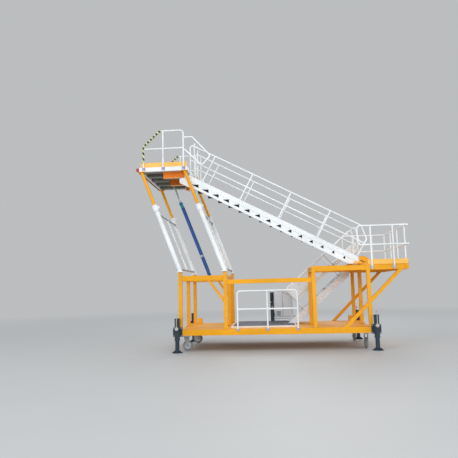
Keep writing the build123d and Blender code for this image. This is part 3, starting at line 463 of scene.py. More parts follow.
class Shape:
    """Small solids gathered in one mesh, for a piece of some name, finish and body, with a slot that is kept
    but not given to the piece.
    """

    gathered = []

    def __init__(self, name, finish, body="chassis", slot=None):
        self.mesh = bmesh.new()
        self.name, self.finish, self.body = name, finish, body
        self.slot = slot or SLOTS[finish.name]
        Shape.gathered.append(self)

    def box(self, spot, size, ways=(X, Y, Z), chamfer=0.0):
        """Box round a place, of a size along three directions, with its edges cut if a chamfer is given."""
        matrix = Matrix.Translation(spot) @ Matrix(ways).transposed().to_4x4() @ Matrix.Diagonal((*size, 1))
        verts = bmesh.ops.create_cube(self.mesh, size=1, matrix=matrix)["verts"]
        if chamfer:
            edges = list(dict.fromkeys(edge for vert in verts for edge in vert.link_edges))
            bmesh.ops.bevel(self.mesh, geom=edges, offset=chamfer, segments=2, profile=0.5, affect="EDGES")

    def span(self, low, high, chamfer=0.0):
        """Box between two corners."""
        low, high = Vector(low), Vector(high)
        self.box((low + high) / 2, high - low, chamfer=chamfer)

    def rod(self, start, end, radius, tip=None, sides=18):
        """Round bar between two points, tapered if a tip radius is given."""
        start, way = Vector(start), Vector(end) - Vector(start)
        spot = Matrix.Translation(start + way / 2) @ way.to_track_quat("Z", "Y").to_matrix().to_4x4()
        bmesh.ops.create_cone(self.mesh, cap_ends=True, segments=sides, radius1=radius,
                              radius2=radius if tip is None else tip, depth=way.length, matrix=spot)

    def loops(self, rings, closed=False):
        """Faces between rings of places, joined end to end or capped."""
        made = [[self.mesh.verts.new(spot) for spot in ring] for ring in rings]
        pairs = list(zip(made, made[1:])) + ([(made[-1], made[0])] if closed else [])
        for low, high in pairs:
            for i in range(len(low)):
                j = (i + 1) % len(low)
                self.mesh.faces.new((low[i], low[j], high[j], high[i]))
        if not closed:
            self.mesh.faces.new(made[0][::-1])
            self.mesh.faces.new(made[-1])

    def lathe(self, start, way, profile, sides=32, closed=False):
        """Round solid about a line from pairs of distance along it and radius."""
        turn = Vector(way).to_track_quat("Z", "Y").to_matrix()
        rings = [[Vector(start) + turn @ (out * radius + Z * along) for out in spokes(sides)]
                 for along, radius in profile]
        self.loops(rings, closed)

    def ring(self, spot, way, radius, thickness=RING_BEAD, sides=24):
        """Round bead in a circle about a line."""
        profile = [(thickness * math.sin(a), radius + thickness * math.cos(a)) for a in circle(8)]
        self.lathe(spot, way, profile[::-1], sides, closed=True)

    def sleeve(self, start, end, inner, outer, sides=28):
        """Hollow round sleeve between two points."""
        way = Vector(end) - Vector(start)
        tall, lip = way.length, min(0.002, way.length / 4)
        profile = ((0, inner), (tall, inner), (tall, outer - lip), (tall - lip, outer), (lip, outer),
                   (0, outer - lip))
        self.lathe(start, way, profile, sides, closed=True)

    def bolt(self, spot, way, size=BOLT):
        """Washer and hexagon head on a face."""
        spot, way = Vector(spot), Vector(way).normalized() * size
        self.rod(spot, spot + way * 0.2, size * 1.2)
        self.rod(spot + way * 0.2, spot + way * 0.7, size * 0.92, sides=6)
        self.rod(spot + way * 0.7, spot + way * 0.85, size * 0.92, size * 0.72, sides=6)

    def four_bolts(self, spot, one, two, way, size=BOLT):
        """Bolts at the corners of a rectangle, from its middle and the halves of its two sides."""
        for a, b in product((-1, 1), repeat=2):
            self.bolt(spot + one * a + two * b, way, size)

    def pipe(self, points, radius, bend=0.05, sides=12):
        """Round tube along points, with its corners rounded."""
        route = rounded([Vector(point) for point in points], bend)
        side = (route[1] - route[0]).orthogonal().normalized()
        rings = []
        for i, spot in enumerate(route):
            way = (route[min(i + 1, len(route) - 1)] - route[max(i - 1, 0)]).normalized()
            side = (side - way * side.dot(way)).normalized()
            rings.append([spot + out * radius for out in spokes(sides, side, way.cross(side))])
        self.loops(rings)

    def prism(self, outline, offset):
        """Flat plate from its outline, as thick as the offset."""
        self.loops([outline, [point + offset for point in outline]])

    def frame_bead(self, low, high, axis, radius=BEAD):
        """Weld beads round both end faces of a box that runs along an axis."""
        first, second = [i for i in range(3) if i != axis]
        for end in (low, high):
            corners = []
            for a, b in ((low, low), (high, low), (high, high), (low, high)):
                corner = end.copy()
                corner[first], corner[second] = a[first], b[second]
                corners.append(corner)
            for start, stop in zip(corners, corners[1:] + corners[:1]):
                self.rod(start, stop, radius, sides=8)

    def beam_ends(self, names, radius=BEAD):
        """Weld beads round the ends of each level beam of some nodes."""
        for name in names:
            for low, high in extents(name):
                self.frame_bead(low, high, 0 if runs_along_x(low, high) else 1, radius)

    def top_edge(self, low, high, radius):
        """Rod along the top of an upright plate."""
        middle = (low + high) / 2
        start, stop = Vector((low.x, middle.y, high.z)), Vector((high.x, middle.y, high.z))
        if not runs_along_x(low, high):
            start, stop = Vector((middle.x, low.y, high.z)), Vector((middle.x, high.y, high.z))
        self.rod(start, stop, radius, sides=12)

    def tread_ribs(self, low, high, count, before, behind, inset, rise):
        """Ribs along the top of a tread, at even steps over its depth."""
        for i in range(count):
            x = low.x + before + i * (high.x - low.x - before - behind) / (count - 1)
            self.span((x - 0.004, low.y + inset, high.z - 0.001), (x + 0.004, high.y - inset, high.z + rise))

    def done(self):
        """The gathered solids as one piece."""
        bmesh.ops.recalc_face_normals(self.mesh, faces=self.mesh.faces)
        return dressed(link(self.mesh, self.name), self.finish, self.body)


def shapes(body, **finishes):
    """New shapes on one body, from the names of their pieces and their finishes."""
    return [Shape(name, finish, body) for name, finish in finishes.items()]


def dressed(made, finish, body):
    """Piece with its finish and body."""
    made.data.materials.append(finish)
    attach(made, body)
    return made


def circle(sides):
    """Angles once round a circle."""
    return [2 * math.pi * i / sides for i in range(sides)]


def spokes(count, one=X, two=Y):
    """Directions once round a circle in the plane of two others."""
    return [one * math.cos(a) + two * math.sin(a) for a in circle(count)]


def rounded(points, bend, steps=6):
    """Points with each corner turned into a short curve."""
    route = [points[0]]
    for before, corner, after in zip(points, points[1:], points[2:]):
        cut = min(bend, (before - corner).length / 2.1, (after - corner).length / 2.1)
        start = corner + (before - corner).normalized() * cut
        stop = corner + (after - corner).normalized() * cut
        for i in range(steps + 1):
            share = i / steps
            route.append(start.lerp(corner, share).lerp(corner.lerp(stop, share), share))
    return route + [points[-1]]


def studs(name, deck, inset, pitch, finish, body="chassis", size=0.009):
    """Raised diamonds of a chequer plate, turned each way in turn, inside the edges of a deck."""
    low, high = deck[0] + (X + Y) * inset, deck[1] - (X + Y) * inset
    long, short = size * 1.5, size * 0.45
    places, faces = [], []
    columns, rows = int((high.x - low.x) / pitch), int((high.y - low.y) / pitch)
    for i, j in product(range(columns), range(rows)):
        x = low.x + (i + 0.5) * (high.x - low.x) / columns
        y = low.y + (j + 0.5) * (high.y - low.y) / rows
        a, b = (long, short) if (i + j) % 2 else (short, long)
        base = len(places)
        for taper, z in ((1, high.z - 0.0005), (0.55, high.z + 0.0022)):
            places += [(x + dx * taper, y + dy * taper, z) for dx, dy in ((a, 0), (0, b), (-a, 0), (0, -b))]
        faces += [[base + k for k in (4, 5, 6, 7)]] + [
            [base + k, base + (k + 1) % 4, base + 4 + (k + 1) % 4, base + 4 + k] for k in range(4)]
    mesh = bpy.data.meshes.new(name)
    mesh.from_pydata(places, [], faces)
    dressed(in_scene(name, mesh), finish, body)


def rail_welds(name, node, finish, free, body="chassis"):
    """Weld beads at the ends of a node's straight rails, but for those that a test calls free."""
    shape = Shape(name, finish, body)
    for low, high, radius in rods(node):
        way = (high - low).normalized()
        for end in (low, high):
            if not free(end):
                shape.ring(end, way, radius, BEAD, sides=18)


def post_clamps(name, node, face, level, finish, body="chassis", tall=0.09):
    """Bolted clamps on the beams behind a node's posts, where the posts' feet stand at a level."""
    plates, bolts = Shape(name, finish, body), Shape(name + "_bolts", bolt_steel, body)
    wide, sheet, lift = 0.10, 0.006, 0.006
    for foot in feet(node):
        if abs(foot.z - level) > 0.01:
            continue
        out = X if abs(foot.y) < face - 0.03 else Y * math.copysign(1, foot.y)
        across = out.cross(Z)
        middle = foot + Z * (tall / 2 + lift)
        grip = Z * tall * 0.36
        plates.box(middle - out * (RAIL - 0.004), (wide, sheet, tall), (across, out, Z), CUT)
        plates.sleeve(middle - grip, middle + grip, RAIL - 0.0005, RAIL + 0.005)
        bolts.four_bolts(middle - out * (RAIL - 0.007), across * wide * 0.37, Z * 0.028, out, SMALL_BOLT)


# Base and towers

def base_fittings():
    """Feet, welds and bolts of the base, the rim of its chequer plate and that plate's studs."""
    welds, plates, bolts, rim = shapes("chassis", post_foot_welds=yellow, post_foot_plates=yellow,
                                       base_bolts=bolt_steel, chequer_rim=white)
    wing = 0.045
    for low, high in extents("left_tower_posts") + extents("right_tower_posts"):
        top = low.z + POST_PLATE
        plates.span(low - X * wing, (high.x + wing, high.y, top), CUT)
        welds.frame_bead(low + Z * POST_PLATE, Vector((high.x, high.y, low.z + 0.3)), 2)
        middle = Vector(((low.x + high.x) / 2, (low.y + high.y) / 2, top))
        bolts.four_bolts(middle, X * 0.073, Y * 0.03, Z)
    low, high = box("chequer_deck")
    top = box("base_deck")[1].z
    count, end, clear = 9, 0.1, 0.03
    for start, stop in extents("base_cross_members"):
        x = (start.x + stop.x) / 2
        for i in range(count):
            y = start.y + end + i * (stop.y - start.y - 2 * end) / (count - 1)
            on_walk = low.x - clear < x < high.x + clear and y > low.y - clear
            if not on_walk and min(abs(y - row) for row in ROWS) > 0.09:
                bolts.bolt((x, y, top), Z, SMALL_BOLT)
    lip, sheet = 0.032, 0.003
    for bottom, top, inset in ((low.z, high.z, 0), (high.z, high.z + sheet, lip)):
        for left, front, right, rear in (
            (low.x - sheet, low.y - sheet, high.x + sheet, low.y + inset),
            (low.x - sheet, high.y - inset, high.x + sheet, high.y + sheet),
            (low.x - sheet, low.y + inset, low.x + inset, high.y - inset),
            (high.x - inset, low.y + inset, high.x + sheet, high.y - inset),
        ):
            rim.span((left, front, bottom), (right, rear, top))
    studs("chequer_studs", (low, high), lip, 0.034, slate)


def tower_fittings():
    """Welds where beams meet posts, bolted end plates and the middle posts' caps."""
    welds, plates, bolts = shapes("chassis", beam_welds=yellow, beam_plates=yellow, beam_bolts=bolt_steel)
    welds.beam_ends(("left_tower_beams", "landing_long_beams", "landing_cross_beams"))
    low, high = box("long_tie_beam")
    middle, thick = (low + high) / 2, 0.012
    for x, side in ((low.x, X), (high.x, -X)):
        face = Vector((x, middle.y, middle.z))
        plates.box(face + side * thick / 2, (thick, 0.098, 0.19), chamfer=CUT)
        bolts.four_bolts(face + side * thick, Z * 0.08, Y * 0.033, side)
    for low, high in extents("left_tower_posts"):
        if abs(low.y + high.y) < 0.2:
            plates.span((low.x - 0.004, low.y - 0.004, high.z), high + Vector((0.004, 0.004, 0.006)))


# Legs and cylinder

def leg_fittings():
    """Flanges, rings, knobs and seals of the four telescopic legs, and the saddles of their ties."""
    steel, paint, seals, ties = shapes("chassis", leg_bolts=bolt_steel, collar_rings=white,
                                       leg_seals=black_rubber, tie_saddles=zinc)
    flanges = Shape("leg_top_flanges", yellow, "platform")
    roof = box("platform_side_beams")[0].z
    collars = solids("leg_collars")
    band, flange = 0.012, 0.014
    for foot in feet("leg_outer_tubes"):
        base = foot + Z * FOOT_PLATE
        own = min(collars, key=lambda points: (centre(extent(points)) - foot).cross(LEG).length)
        low, high = (pick((point - base).dot(LEG) for point in own) for pick in (min, max))
        steel.four_bolts(base, X * 0.07, Y * 0.07, Z, FLANGE_BOLT)
        paint.ring(base + LEG * 0.004, Z, LEG_TUBE + 0.003, 0.007)
        for d in (low, high - band):
            paint.sleeve(base + LEG * d, base + LEG * (d + band), COLLAR - 0.002, COLLAR + 0.006)
        for d in (low + 0.05, high - 0.05):
            paint.ring(base + LEG * d, LEG, COLLAR, 0.003)
        head = base + LEG * (low + high) / 2 + ACROSS * KNOB_REACH
        for out in spokes(6, Y, LEG):
            spot = head + out * 0.026
            paint.rod(spot - ACROSS * 0.018, spot - ACROSS * 0.001, 0.0085, sides=12)
        steel.rod(head, head + ACROSS * 0.008, 0.009, 0.006)
        for side in (-Y, Y):
            steel.bolt(base + LEG * (low + 0.145) + side * (COLLAR - 0.001), side, FLANGE_BOLT)
        seals.sleeve(base + LEG * high, base + LEG * (high + 0.008), 0.047, 0.062)
        top = base + LEG * ((roof - base.z) / LEG.z)
        flanges.box(top - Z * flange / 2, (0.19, 0.15, flange), chamfer=CUT)
        flanges.ring(top - Z * (flange + 0.002), Z, 0.049)
        flanges.four_bolts(top - Z * flange, X * 0.078, Y * 0.055, -Z, FLANGE_BOLT)
    for low, high in extents("leg_cross_ties"):
        middle = (low + high) / 2
        for y, side in ((low.y, Y), (high.y, -Y)):
            spot = Vector((middle.x, y, middle.z)) + side * 0.006
            ties.sleeve(spot, spot + side * 0.05, 0.029, 0.036)
            ties.ring(spot + side * 0.001, Y, 0.036, TIE_BEAD)
    for low, high, radius in rods("leg_mid_tubes"):
        for end in (low, high):
            ties.ring(end, LEG, radius, TIE_BEAD)


def cylinder_fittings():
    """Gland, rings, clipped pipes and seat of the lifting cylinder, and the head of its rod."""
    gland, rings, pipes, clips, seat = shapes("chassis", cylinder_gland=teal, cylinder_rings=aluminium,
                                              cylinder_pipes=blue, pipe_clips=dark, cylinder_seat=yellow)
    head = Shape("rod_head", dark, "platform")
    foot = feet("cylinder_barrel")[0]
    length = max((point - foot).dot(LEG) for point in solids("cylinder_barrel")[0])
    for shape, start, stop, inner, outer in (
        (gland, length - 0.20, length - 0.092, 0.049, 0.0535),
        (gland, length - 0.048, length + 0.004, 0.027, 0.0555),
        (rings, 0.668, 0.712, 0.057, 0.0605),
    ):
        shape.sleeve(foot + LEG * start, foot + LEG * stop, inner, outer)
    for d in (0.66, 0.72):
        rings.ring(foot + LEG * d, LEG, 0.052)
    for side, start in ((-0.69, 0.30), (0.69, 0.16)):
        way = (ACROSS * 0.72 + Y * side).normalized()
        away = way * 0.068
        low, high = foot + LEG * start, foot + LEG * (length - 0.13)
        pipes.pipe((low, low + away, high + away, high), 0.007, 0.03)
        for d in (0.55, 1.1, 1.65, 2.15):
            clips.box(foot + LEG * d + away * 0.88, (0.022, 0.026, 0.03), (way, LEG.cross(way), LEG), 0.003)
    plate, flange = 0.014, 0.018
    seat.box(foot + Z * plate / 2, (0.17, 0.075, plate), chamfer=0.003)
    seat.ring(foot + Z * (plate + 0.002), Z, 0.055)
    for x in (-0.07, 0.07):
        seat.bolt(foot + X * x + Z * plate, Z, FLANGE_BOLT)
    roof = box("platform_joists")[0].z
    top = foot + LEG * ((roof - foot.z) / LEG.z)
    head.box(top - Z * flange / 2, (0.15, 0.13, flange), chamfer=0.003)
    head.sleeve(top - LEG * 0.085, top - LEG * 0.02, 0.0255, 0.038)
    head.four_bolts(top - Z * flange, X * 0.058, Y * 0.045, -Z, SMALL_BOLT)


# Upper platform

def platform_fittings():
    """Clamps, kick plate lips, bumper straps and caps, bracket ribs and studs of the upper platform."""
    beams_low, beams_high = box("platform_side_beams")
    post_clamps("platform_clamps", "platform_guard_rails", beams_high.y, beams_low.z + 0.02, lilac,
                "platform")
    rail_welds("platform_rail_welds", "platform_guard_rails", white,
               lambda end: end.z < beams_high.z + 0.2, "platform")
    lips, joints, bolts, straps, welds, ribs, flanges = shapes(
        "platform", kick_plate_lips=pale_yellow, kick_plate_joints=pale_yellow, kick_plate_bolts=bolt_steel,
        bumper_straps=black_rubber, platform_welds=white, bracket_ribs=orange, bracket_flanges=highlit_orange)
    caps = Shape("bumper_caps", red_plastic, "platform", "bumper_rubber")
    for low, high in extents("platform_kick_plates"):
        lips.top_edge(low, high, 0.0065)
        if not runs_along_x(low, high):
            continue
        middle = (low + high) / 2
        side = Y * math.copysign(1, middle.y)
        joints.box(middle + X * 0.03 + side * 0.005, (0.05, 0.003, high.z - low.z - 0.01))
        for x, z in product((low.x + 0.05, middle.x - 0.02, middle.x + 0.08, high.x - 0.05),
                            (low.z + 0.025, high.z - 0.03)):
            bolts.bolt(Vector((x, middle.y, z)) + side * 0.004, side, 0.0065)

    low, high = box("platform_bumper")
    middle = (low + high) / 2
    radius = (high.z - low.z) / 2
    for y in (low.y + 0.03, low.y + 0.95, high.y - 0.95, high.y - 0.03):
        spot = Vector((middle.x, y, middle.z))
        straps.sleeve(spot - Y * 0.02, spot + Y * 0.02, radius - 0.001, radius + 0.003)
    for y, side in ((low.y, -Y), (high.y, Y)):
        caps.lathe((middle.x, y, middle.z), side, ((0, radius + 0.001), (0.004, radius * 0.96),
                                                   (0.010, radius * 0.75), (0.013, radius * 0.4)), 36)
    welds.beam_ends(("platform_side_beams", "platform_end_beams"), 0.0035)

    tall, sheet, rib = 0.18, 0.012, 0.009
    for points in solids("stair_hinge_brackets"):
        low, high = extent([point for point in points if point.z > beams_low.z - 0.17])
        floor, roof = high.z - tall, high.z - sheet
        corner = Vector((low.x - 0.006, low.y - 0.01, 0))
        # Painted highlight: the flanges take the paler orange coat where they catch the light
        flanges.span(corner + Z * (floor - 0.009), (high.x - 0.12, high.y + 0.01, floor), CUT)
        flanges.span(corner + Z * roof, (high.x + 0.006, high.y + 0.01, high.z), CUT)
        for x, (start, stop) in product((low.x + 0.004, (low.x + high.x) / 2, high.x - 0.004),
                                        ((low.y - rib, low.y), (high.y, high.y + rib))):
            ribs.span((x - 0.004, start, floor), (x + 0.004, stop, roof))
        for x, y in product((low.x + 0.09, low.x + 0.25, high.x - 0.2, high.x - 0.05),
                            (low.y - 0.004, high.y + 0.004)):
            ribs.bolt((x, y, roof), -Z, SMALL_BOLT)
    studs("platform_studs", box("platform_deck"), 0.02, 0.045, slats, "platform")


# Upper stair

def trimmed(points, low, high):
    """Outline in the upright plane, cut off at the lowest and highest x and z of a box."""
    for way in (X, -X, Z, -Z):
        limit = (high if sum(way) > 0 else low).dot(way)
        kept = []
        for before, point in zip(points[-1:] + points[:-1], points):
            a, b = before.dot(way) - limit, point.dot(way) - limit
            if (a > 0) != (b > 0):
                kept.append(before.lerp(point, a / (a - b)))
            if b <= 0:
                kept.append(point)
        points = kept
    return points


def stair_beams(treads, square, level):
    """Upper bars of the stair, the front link bar and its three-cornered openings, with painted shade: dark
    plates behind the openings and dark wedges under the link bar.
    """
    beams, housings, brackets, shoes = shapes("upper_stair", stair_beams=white, foot_housings=pale_yellow,
                                              tread_brackets=shade, tread_shoes=shade)
    low, high = box("stair_stringers")
    near_bar, far_bar = [(ends[0].y, ends[1].y) for ends in extents("stair_stringers")]
    near, near_in = near_bar
    thick = near_in - near

    def spot(x, drop, y):
        """Point by its x and y and its depth square to the bar's top edge."""
        return Vector((x, y, (level - drop - x * square.x) / square.z))

    def plate(corners, y, thick, into=beams):
        """Flat plate from corners given as x and depth."""
        into.prism(trimmed([spot(x, drop, y) for x, drop in corners], low, high), Y * thick)

    def web(left, right, slant):
        """Thin plate between the two bars, with its right end slanted."""
        top, bottom = BAR_DEPTH - LAP, LINK_TOP + LAP
        plate(((left, top), (right, top), (right - slant, bottom), (left, bottom)), near + 0.006, 0.012)

    left, right = low.x - 0.1, high.x + 0.1
    end_top, end_foot = 0.05, 0.33
    for y in (near, far_bar[0]):
        plate(((left, 0), (right, 0), (right, BAR_DEPTH), (left, BAR_DEPTH)), y, thick)
        plate(((left, end_top), (low.x + 0.28, end_top), (low.x + 0.34, end_foot), (left, end_foot)),
              y + 0.001, thick - 0.002)
        plate(((high.x - 0.12, end_top), (right, end_top), (right, end_foot), (high.x - 0.38, end_foot)),
              y + 0.001, thick - 0.002, housings)
    edge = low.x + 0.2
    plate(((edge, LINK_TOP), (high.x - 0.24, LINK_TOP), (high.x - 0.32, LINK_FOOT), (edge, LINK_FOOT)),
          near, thick)
    for index, tread in enumerate(treads[:-2]):
        end = centre(tread).x + HOLE_SHIFT + HOLE_LENGTH / 2
        width = HOLE_WIDE - HOLE_LOSS * index
        web(edge, end, width)
        # Painted shade: a dark plate set back in each opening stands for the shade seen through it
        middle = spot(end - width / 2 + 0.02, (BAR_DEPTH + LINK_TOP) / 2, near_in - 0.008)
        brackets.box(middle, (width + 0.05, 0.006, LINK_TOP - BAR_DEPTH + 0.03), (Y.cross(square), Y, square))
        # Painted shade: dark wedges under the link bar stand for the treads' shaded undersides, shallower
        # from tread to tread down the stair
        depth = UNDERSIDE_SHADE_DEPTH * (1 - index / 15)
        if depth > 0.012:
            start = end - 0.02
            shoes.prism([spot(x, LINK_FOOT + drop, near + 0.004) for x, drop in
                         ((start, -0.001), (start, depth), (start + depth * 2.1, -0.001))], Y * 0.036)
        edge = end
    web(edge, high.x - 0.16, 0.08)
    return near_bar, far_bar, spot


def stair_fittings():
    """Bars, ribs on the treads, bar lips, post brackets, bolts and welds of the upper stair."""
    treads = sorted(extents("stair_treads"), key=lambda tread: tread[0].x)
    down = (treads[-1][1] - treads[0][1]).normalized()
    square = down.cross(Y)
    ways = (down, Y, square)
    posts = feet("stair_guard_rails", square)
    level = min(post.dot(square) for post in posts)
    near_bar, far_bar, spot = stair_beams(treads, square, level)
    ribs, noses, lips, brackets, bolts = shapes(
        "upper_stair", stair_tread_ribs=aluminium, stair_tread_noses=dark, stair_bar_lips=white,
        stair_post_brackets=pale_blue, stair_bolts=bolt_steel)
    for low, high in treads:
        ribs.tread_ribs(low, high, 7, 0.035, 0.040, 0.012, 0.0025)
        for start, bottom, top in ((-0.022, -0.001, 0.003), (0, -0.03, 0)):
            noses.span((high.x + start, low.y + 0.004, high.z + bottom),
                       (high.x + 0.003, high.y - 0.004, high.z + top))
    start, stop = treads[0][0].x + 0.12, treads[-1][1].x - 0.07
    x, length = (start + stop) / 2, (stop - start) / down.x
    for (near, far), outer, way in ((near_bar, near_bar[0], -1), (far_bar, far_bar[1], 1)):
        lips.box(spot(x, 0.0015, (near + far) / 2), (length, far - near + 0.012, 0.005), ways, 0.001)
        lips.box(spot(x, BAR_DEPTH - 0.004, outer + way * 0.0015), (length, 0.005, 0.007), ways, 0.001)
        for tread, shift in product(treads, (-0.07, 0.07)):
            bolts.bolt((centre(tread).x + shift, outer, tread[1].z - 0.018), Y * way, SMALL_BOLT)
    for post in posts:
        if post.dot(square) >= level + 0.02:
            continue
        brackets.box(post + square * 0.004, (0.12, 0.056, 0.008), ways, CUT)
        brackets.ring(post + square * 0.010, square, RAIL)
        for side in (-down, down):
            brackets.box(post + side * 0.032 + square * 0.026, (0.030, 0.006, 0.045), ways)
            bolts.bolt(post + side * 0.05 + square * 0.008, square, 0.007)
    rail_welds("stair_rail_welds", "stair_guard_rails", white,
               lambda end: abs(end.dot(square) - level) < 0.02, "upper_stair")


def foot_fittings():
    """Rims, rolled hoods, slots and bolts of the covers at the stair's foot, and the rollers' hubs; the slots
    are dark strips of painted shade.
    """
    rims, slots, bolts, hubs = shapes("upper_stair", cover_rims=yellow, cover_slots=shade,
                                      cover_bolts=bolt_steel, roller_hubs=aluminium)
    for (low, high), way in zip(extents("stair_foot_covers"), (-1, 1)):
        outer, inner = (low.y, high.y) if way < 0 else (high.y, low.y)
        hub = Vector((high.x - COVER_ARC, 0, high.z - COVER_ARC))
        arc = [hub + out * COVER_ARC for out in spokes(48, Z, X)[:13]]
        edge = [Vector((low.x, 0, high.z))] + arc + [Vector((high.x, 0, low.z))]
        rims.pipe([point + Y * outer for point in edge], 0.006, 0.01)
        back = inner - way * 0.058
        for start, stop in zip(edge, edge[1:]):
            along = (stop - start).normalized()
            square = along.cross(Y)
            middle = (start + stop) / 2 + square * 0.002 + Y * (outer + back) / 2
            rims.box(middle, ((stop - start).length + 0.003, abs(outer - back), 0.004), (along, Y, square))
        # Painted shade: the slot is a dark strip on the cover's face that stands for the shade inside it
        slots.box(((low.x + high.x) / 2 - 0.05, outer + way * 0.0015, low.z + 0.075), (0.13, 0.004, 0.022),
                  (Vector((0.89, 0, -0.46)), Y, Vector((0.46, 0, 0.89))))
        for x, z in ((low.x + 0.025, high.z - 0.03), (low.x + 0.03, low.z + 0.03),
                     (high.x - 0.03, low.z + 0.025)):
            bolts.bolt((x, outer, z), Y * way, FLANGE_BOLT)
    front = box("stair_treads")[0].y + 0.3
    for low, high in extents("stair_foot_rollers"):
        middle = (low + high) / 2
        inner, side = (high.y, Y) if middle.y < front else (low.y, -Y)
        hubs.lathe((middle.x, inner, middle.z), side,
                   ((0, 0.034), (0.002, 0.032), (0.002, 0.018), (0.006, 0.016), (0.008, 0.010)))


# Landing and lower stair

def landing_fittings():
    """Clamps, welds, kick plate lips and deck pattern of the landing."""
    low, high = box("landing_cross_beams")
    post_clamps("landing_clamps", "landing_guard_rails", high.y, low.z + 0.02, aluminium)
    rail_welds("landing_rail_welds", "landing_guard_rails", white, lambda end: end.z < high.z + 0.1)
    lips = Shape("landing_lips", pale_yellow)
    for plate in extents("landing_kick_plates"):
        lips.top_edge(*plate, 0.006)
    decks = sorted(extents("landing_deck"), key=lambda deck: deck[0].x)
    for index, deck in enumerate(decks):
        studs(f"landing_studs_{index + 1}", deck, 0.03, 0.05, yellow, size=0.012)


def lower_stair_fittings():
    """Ribbed treads, side plates, bolts and weld rings of the lower stair."""
    ribs, plates, bolts, rings = shapes("chassis", lower_tread_ribs=aluminium, lower_tread_plates=white,
                                        lower_stair_bolts=bolt_steel, lower_post_rings=aluminium)
    front, rear = extents("lower_stair_stringers")
    for low, high in extents("lower_stair_treads"):
        ribs.tread_ribs(low, high, 6, 0.03, 0.03, 0.01, 0.003)
        ribs.span((low.x - 0.003, low.y + 0.003, high.z - 0.032), (low.x, high.y - 0.003, high.z + 0.002))
        for outer, side in ((front[0].y, -Y), (rear[1].y, Y)):
            middle = Vector(((low.x + high.x) / 2 - 0.02, outer, high.z - 0.028)) + side * 0.0025
            plates.box(middle, (0.16, 0.005, 0.05), chamfer=0.001)
            for x in (-0.055, 0.055):
                bolts.bolt(middle + X * x + side * 0.0025, side, SMALL_BOLT)
    for foot in feet("lower_stair_rails", LOWER_UP):
        if foot.z < LANDING_TOP - 0.03:
            rings.ring(foot + LOWER_UP * 0.004, LOWER_UP, RAIL)
        else:
            rings.rod(foot, foot + Z * 0.008, 0.045, sides=28)
            rings.ring(foot + Z * 0.010, Z, RAIL, TIE_BEAD)
    rail_welds("lower_rail_welds", "lower_stair_rails", aluminium,
               lambda end: end.dot(LOWER_UP) < LOWER_LEVEL + 0.02)


# Cabinet, power pack and front rail

def cabinet_fittings():
    """Roof lip, doors, hinges, handle, louvres, buttons and round feet of the control cabinet."""
    roof, doors, seam, hinges, louvres, buttons = shapes(
        "chassis", cabinet_roof=cabinet_grey, cabinet_doors=cabinet_grey, cabinet_seam=seam_grey,
        cabinet_hinges=aluminium, cabinet_louvres=black_plastic, cabinet_buttons=red_plastic)
    low, high = box("control_cabinet")
    floor, face, width = high.z - CABINET_TALL, low.y - 0.006, high.x - low.x
    roof.span((low.x - 0.008, low.y - 0.012, high.z - 0.028), high + Vector((0.008, 0.004, 0.004)), 0.003)
    for left, right in ((low.x + 0.018, low.x + width * 0.44), (low.x + width * 0.46, high.x - 0.018)):
        doors.span((left, face, floor + 0.085), (right, low.y, high.z - 0.04), CUT)
    doors.span((low.x + 0.018, low.y - 0.005, floor + 0.012), (high.x - 0.018, low.y, floor + 0.072), CUT)
    seam.span((low.x + 0.012, low.y - 0.0025, floor + 0.006), (high.x - 0.012, low.y, high.z - 0.034))
    for z, x in product((floor + 0.2, floor + 0.5, high.z - 0.12), (low.x + 0.014, high.x - 0.014)):
        hinges.rod((x, face, z - 0.025), (x, face, z + 0.025), 0.005)
    hinges.span((low.x + width * 0.48, low.y - 0.016, floor + 0.45),
                (low.x + width * 0.50, face, floor + 0.56), 0.003)
    for i in range(7):
        louvres.box((low.x + width * 0.24, low.y - 0.008, floor + 0.12 + i * 0.022), (0.13, 0.006, 0.008),
                    (X, Vector((0, 0.87, -0.5)), Vector((0, 0.5, 0.87))))
    for i in range(3):
        buttons.lathe((low.x + width * 0.6 + i * 0.06, face, high.z - 0.13), -Y,
                      ((0, 0.013), (0.004, 0.013), (0.006, 0.010), (0.012, 0.009)))
    buttons.lathe((low.x + width * 0.52, face, high.z - 0.085), -Y,
                  ((0, 0.009), (0.008, 0.009), (0.010, 0.018), (0.018, 0.016)))
    for x, y in product((low.x + 0.06, high.x - 0.06), (low.y + 0.03, high.y - 0.03)):
        louvres.lathe((x - 0.012, y, low.z + 0.028), X,
                      ((0, 0.020), (0.004, 0.028), (0.020, 0.028), (0.024, 0.020)))


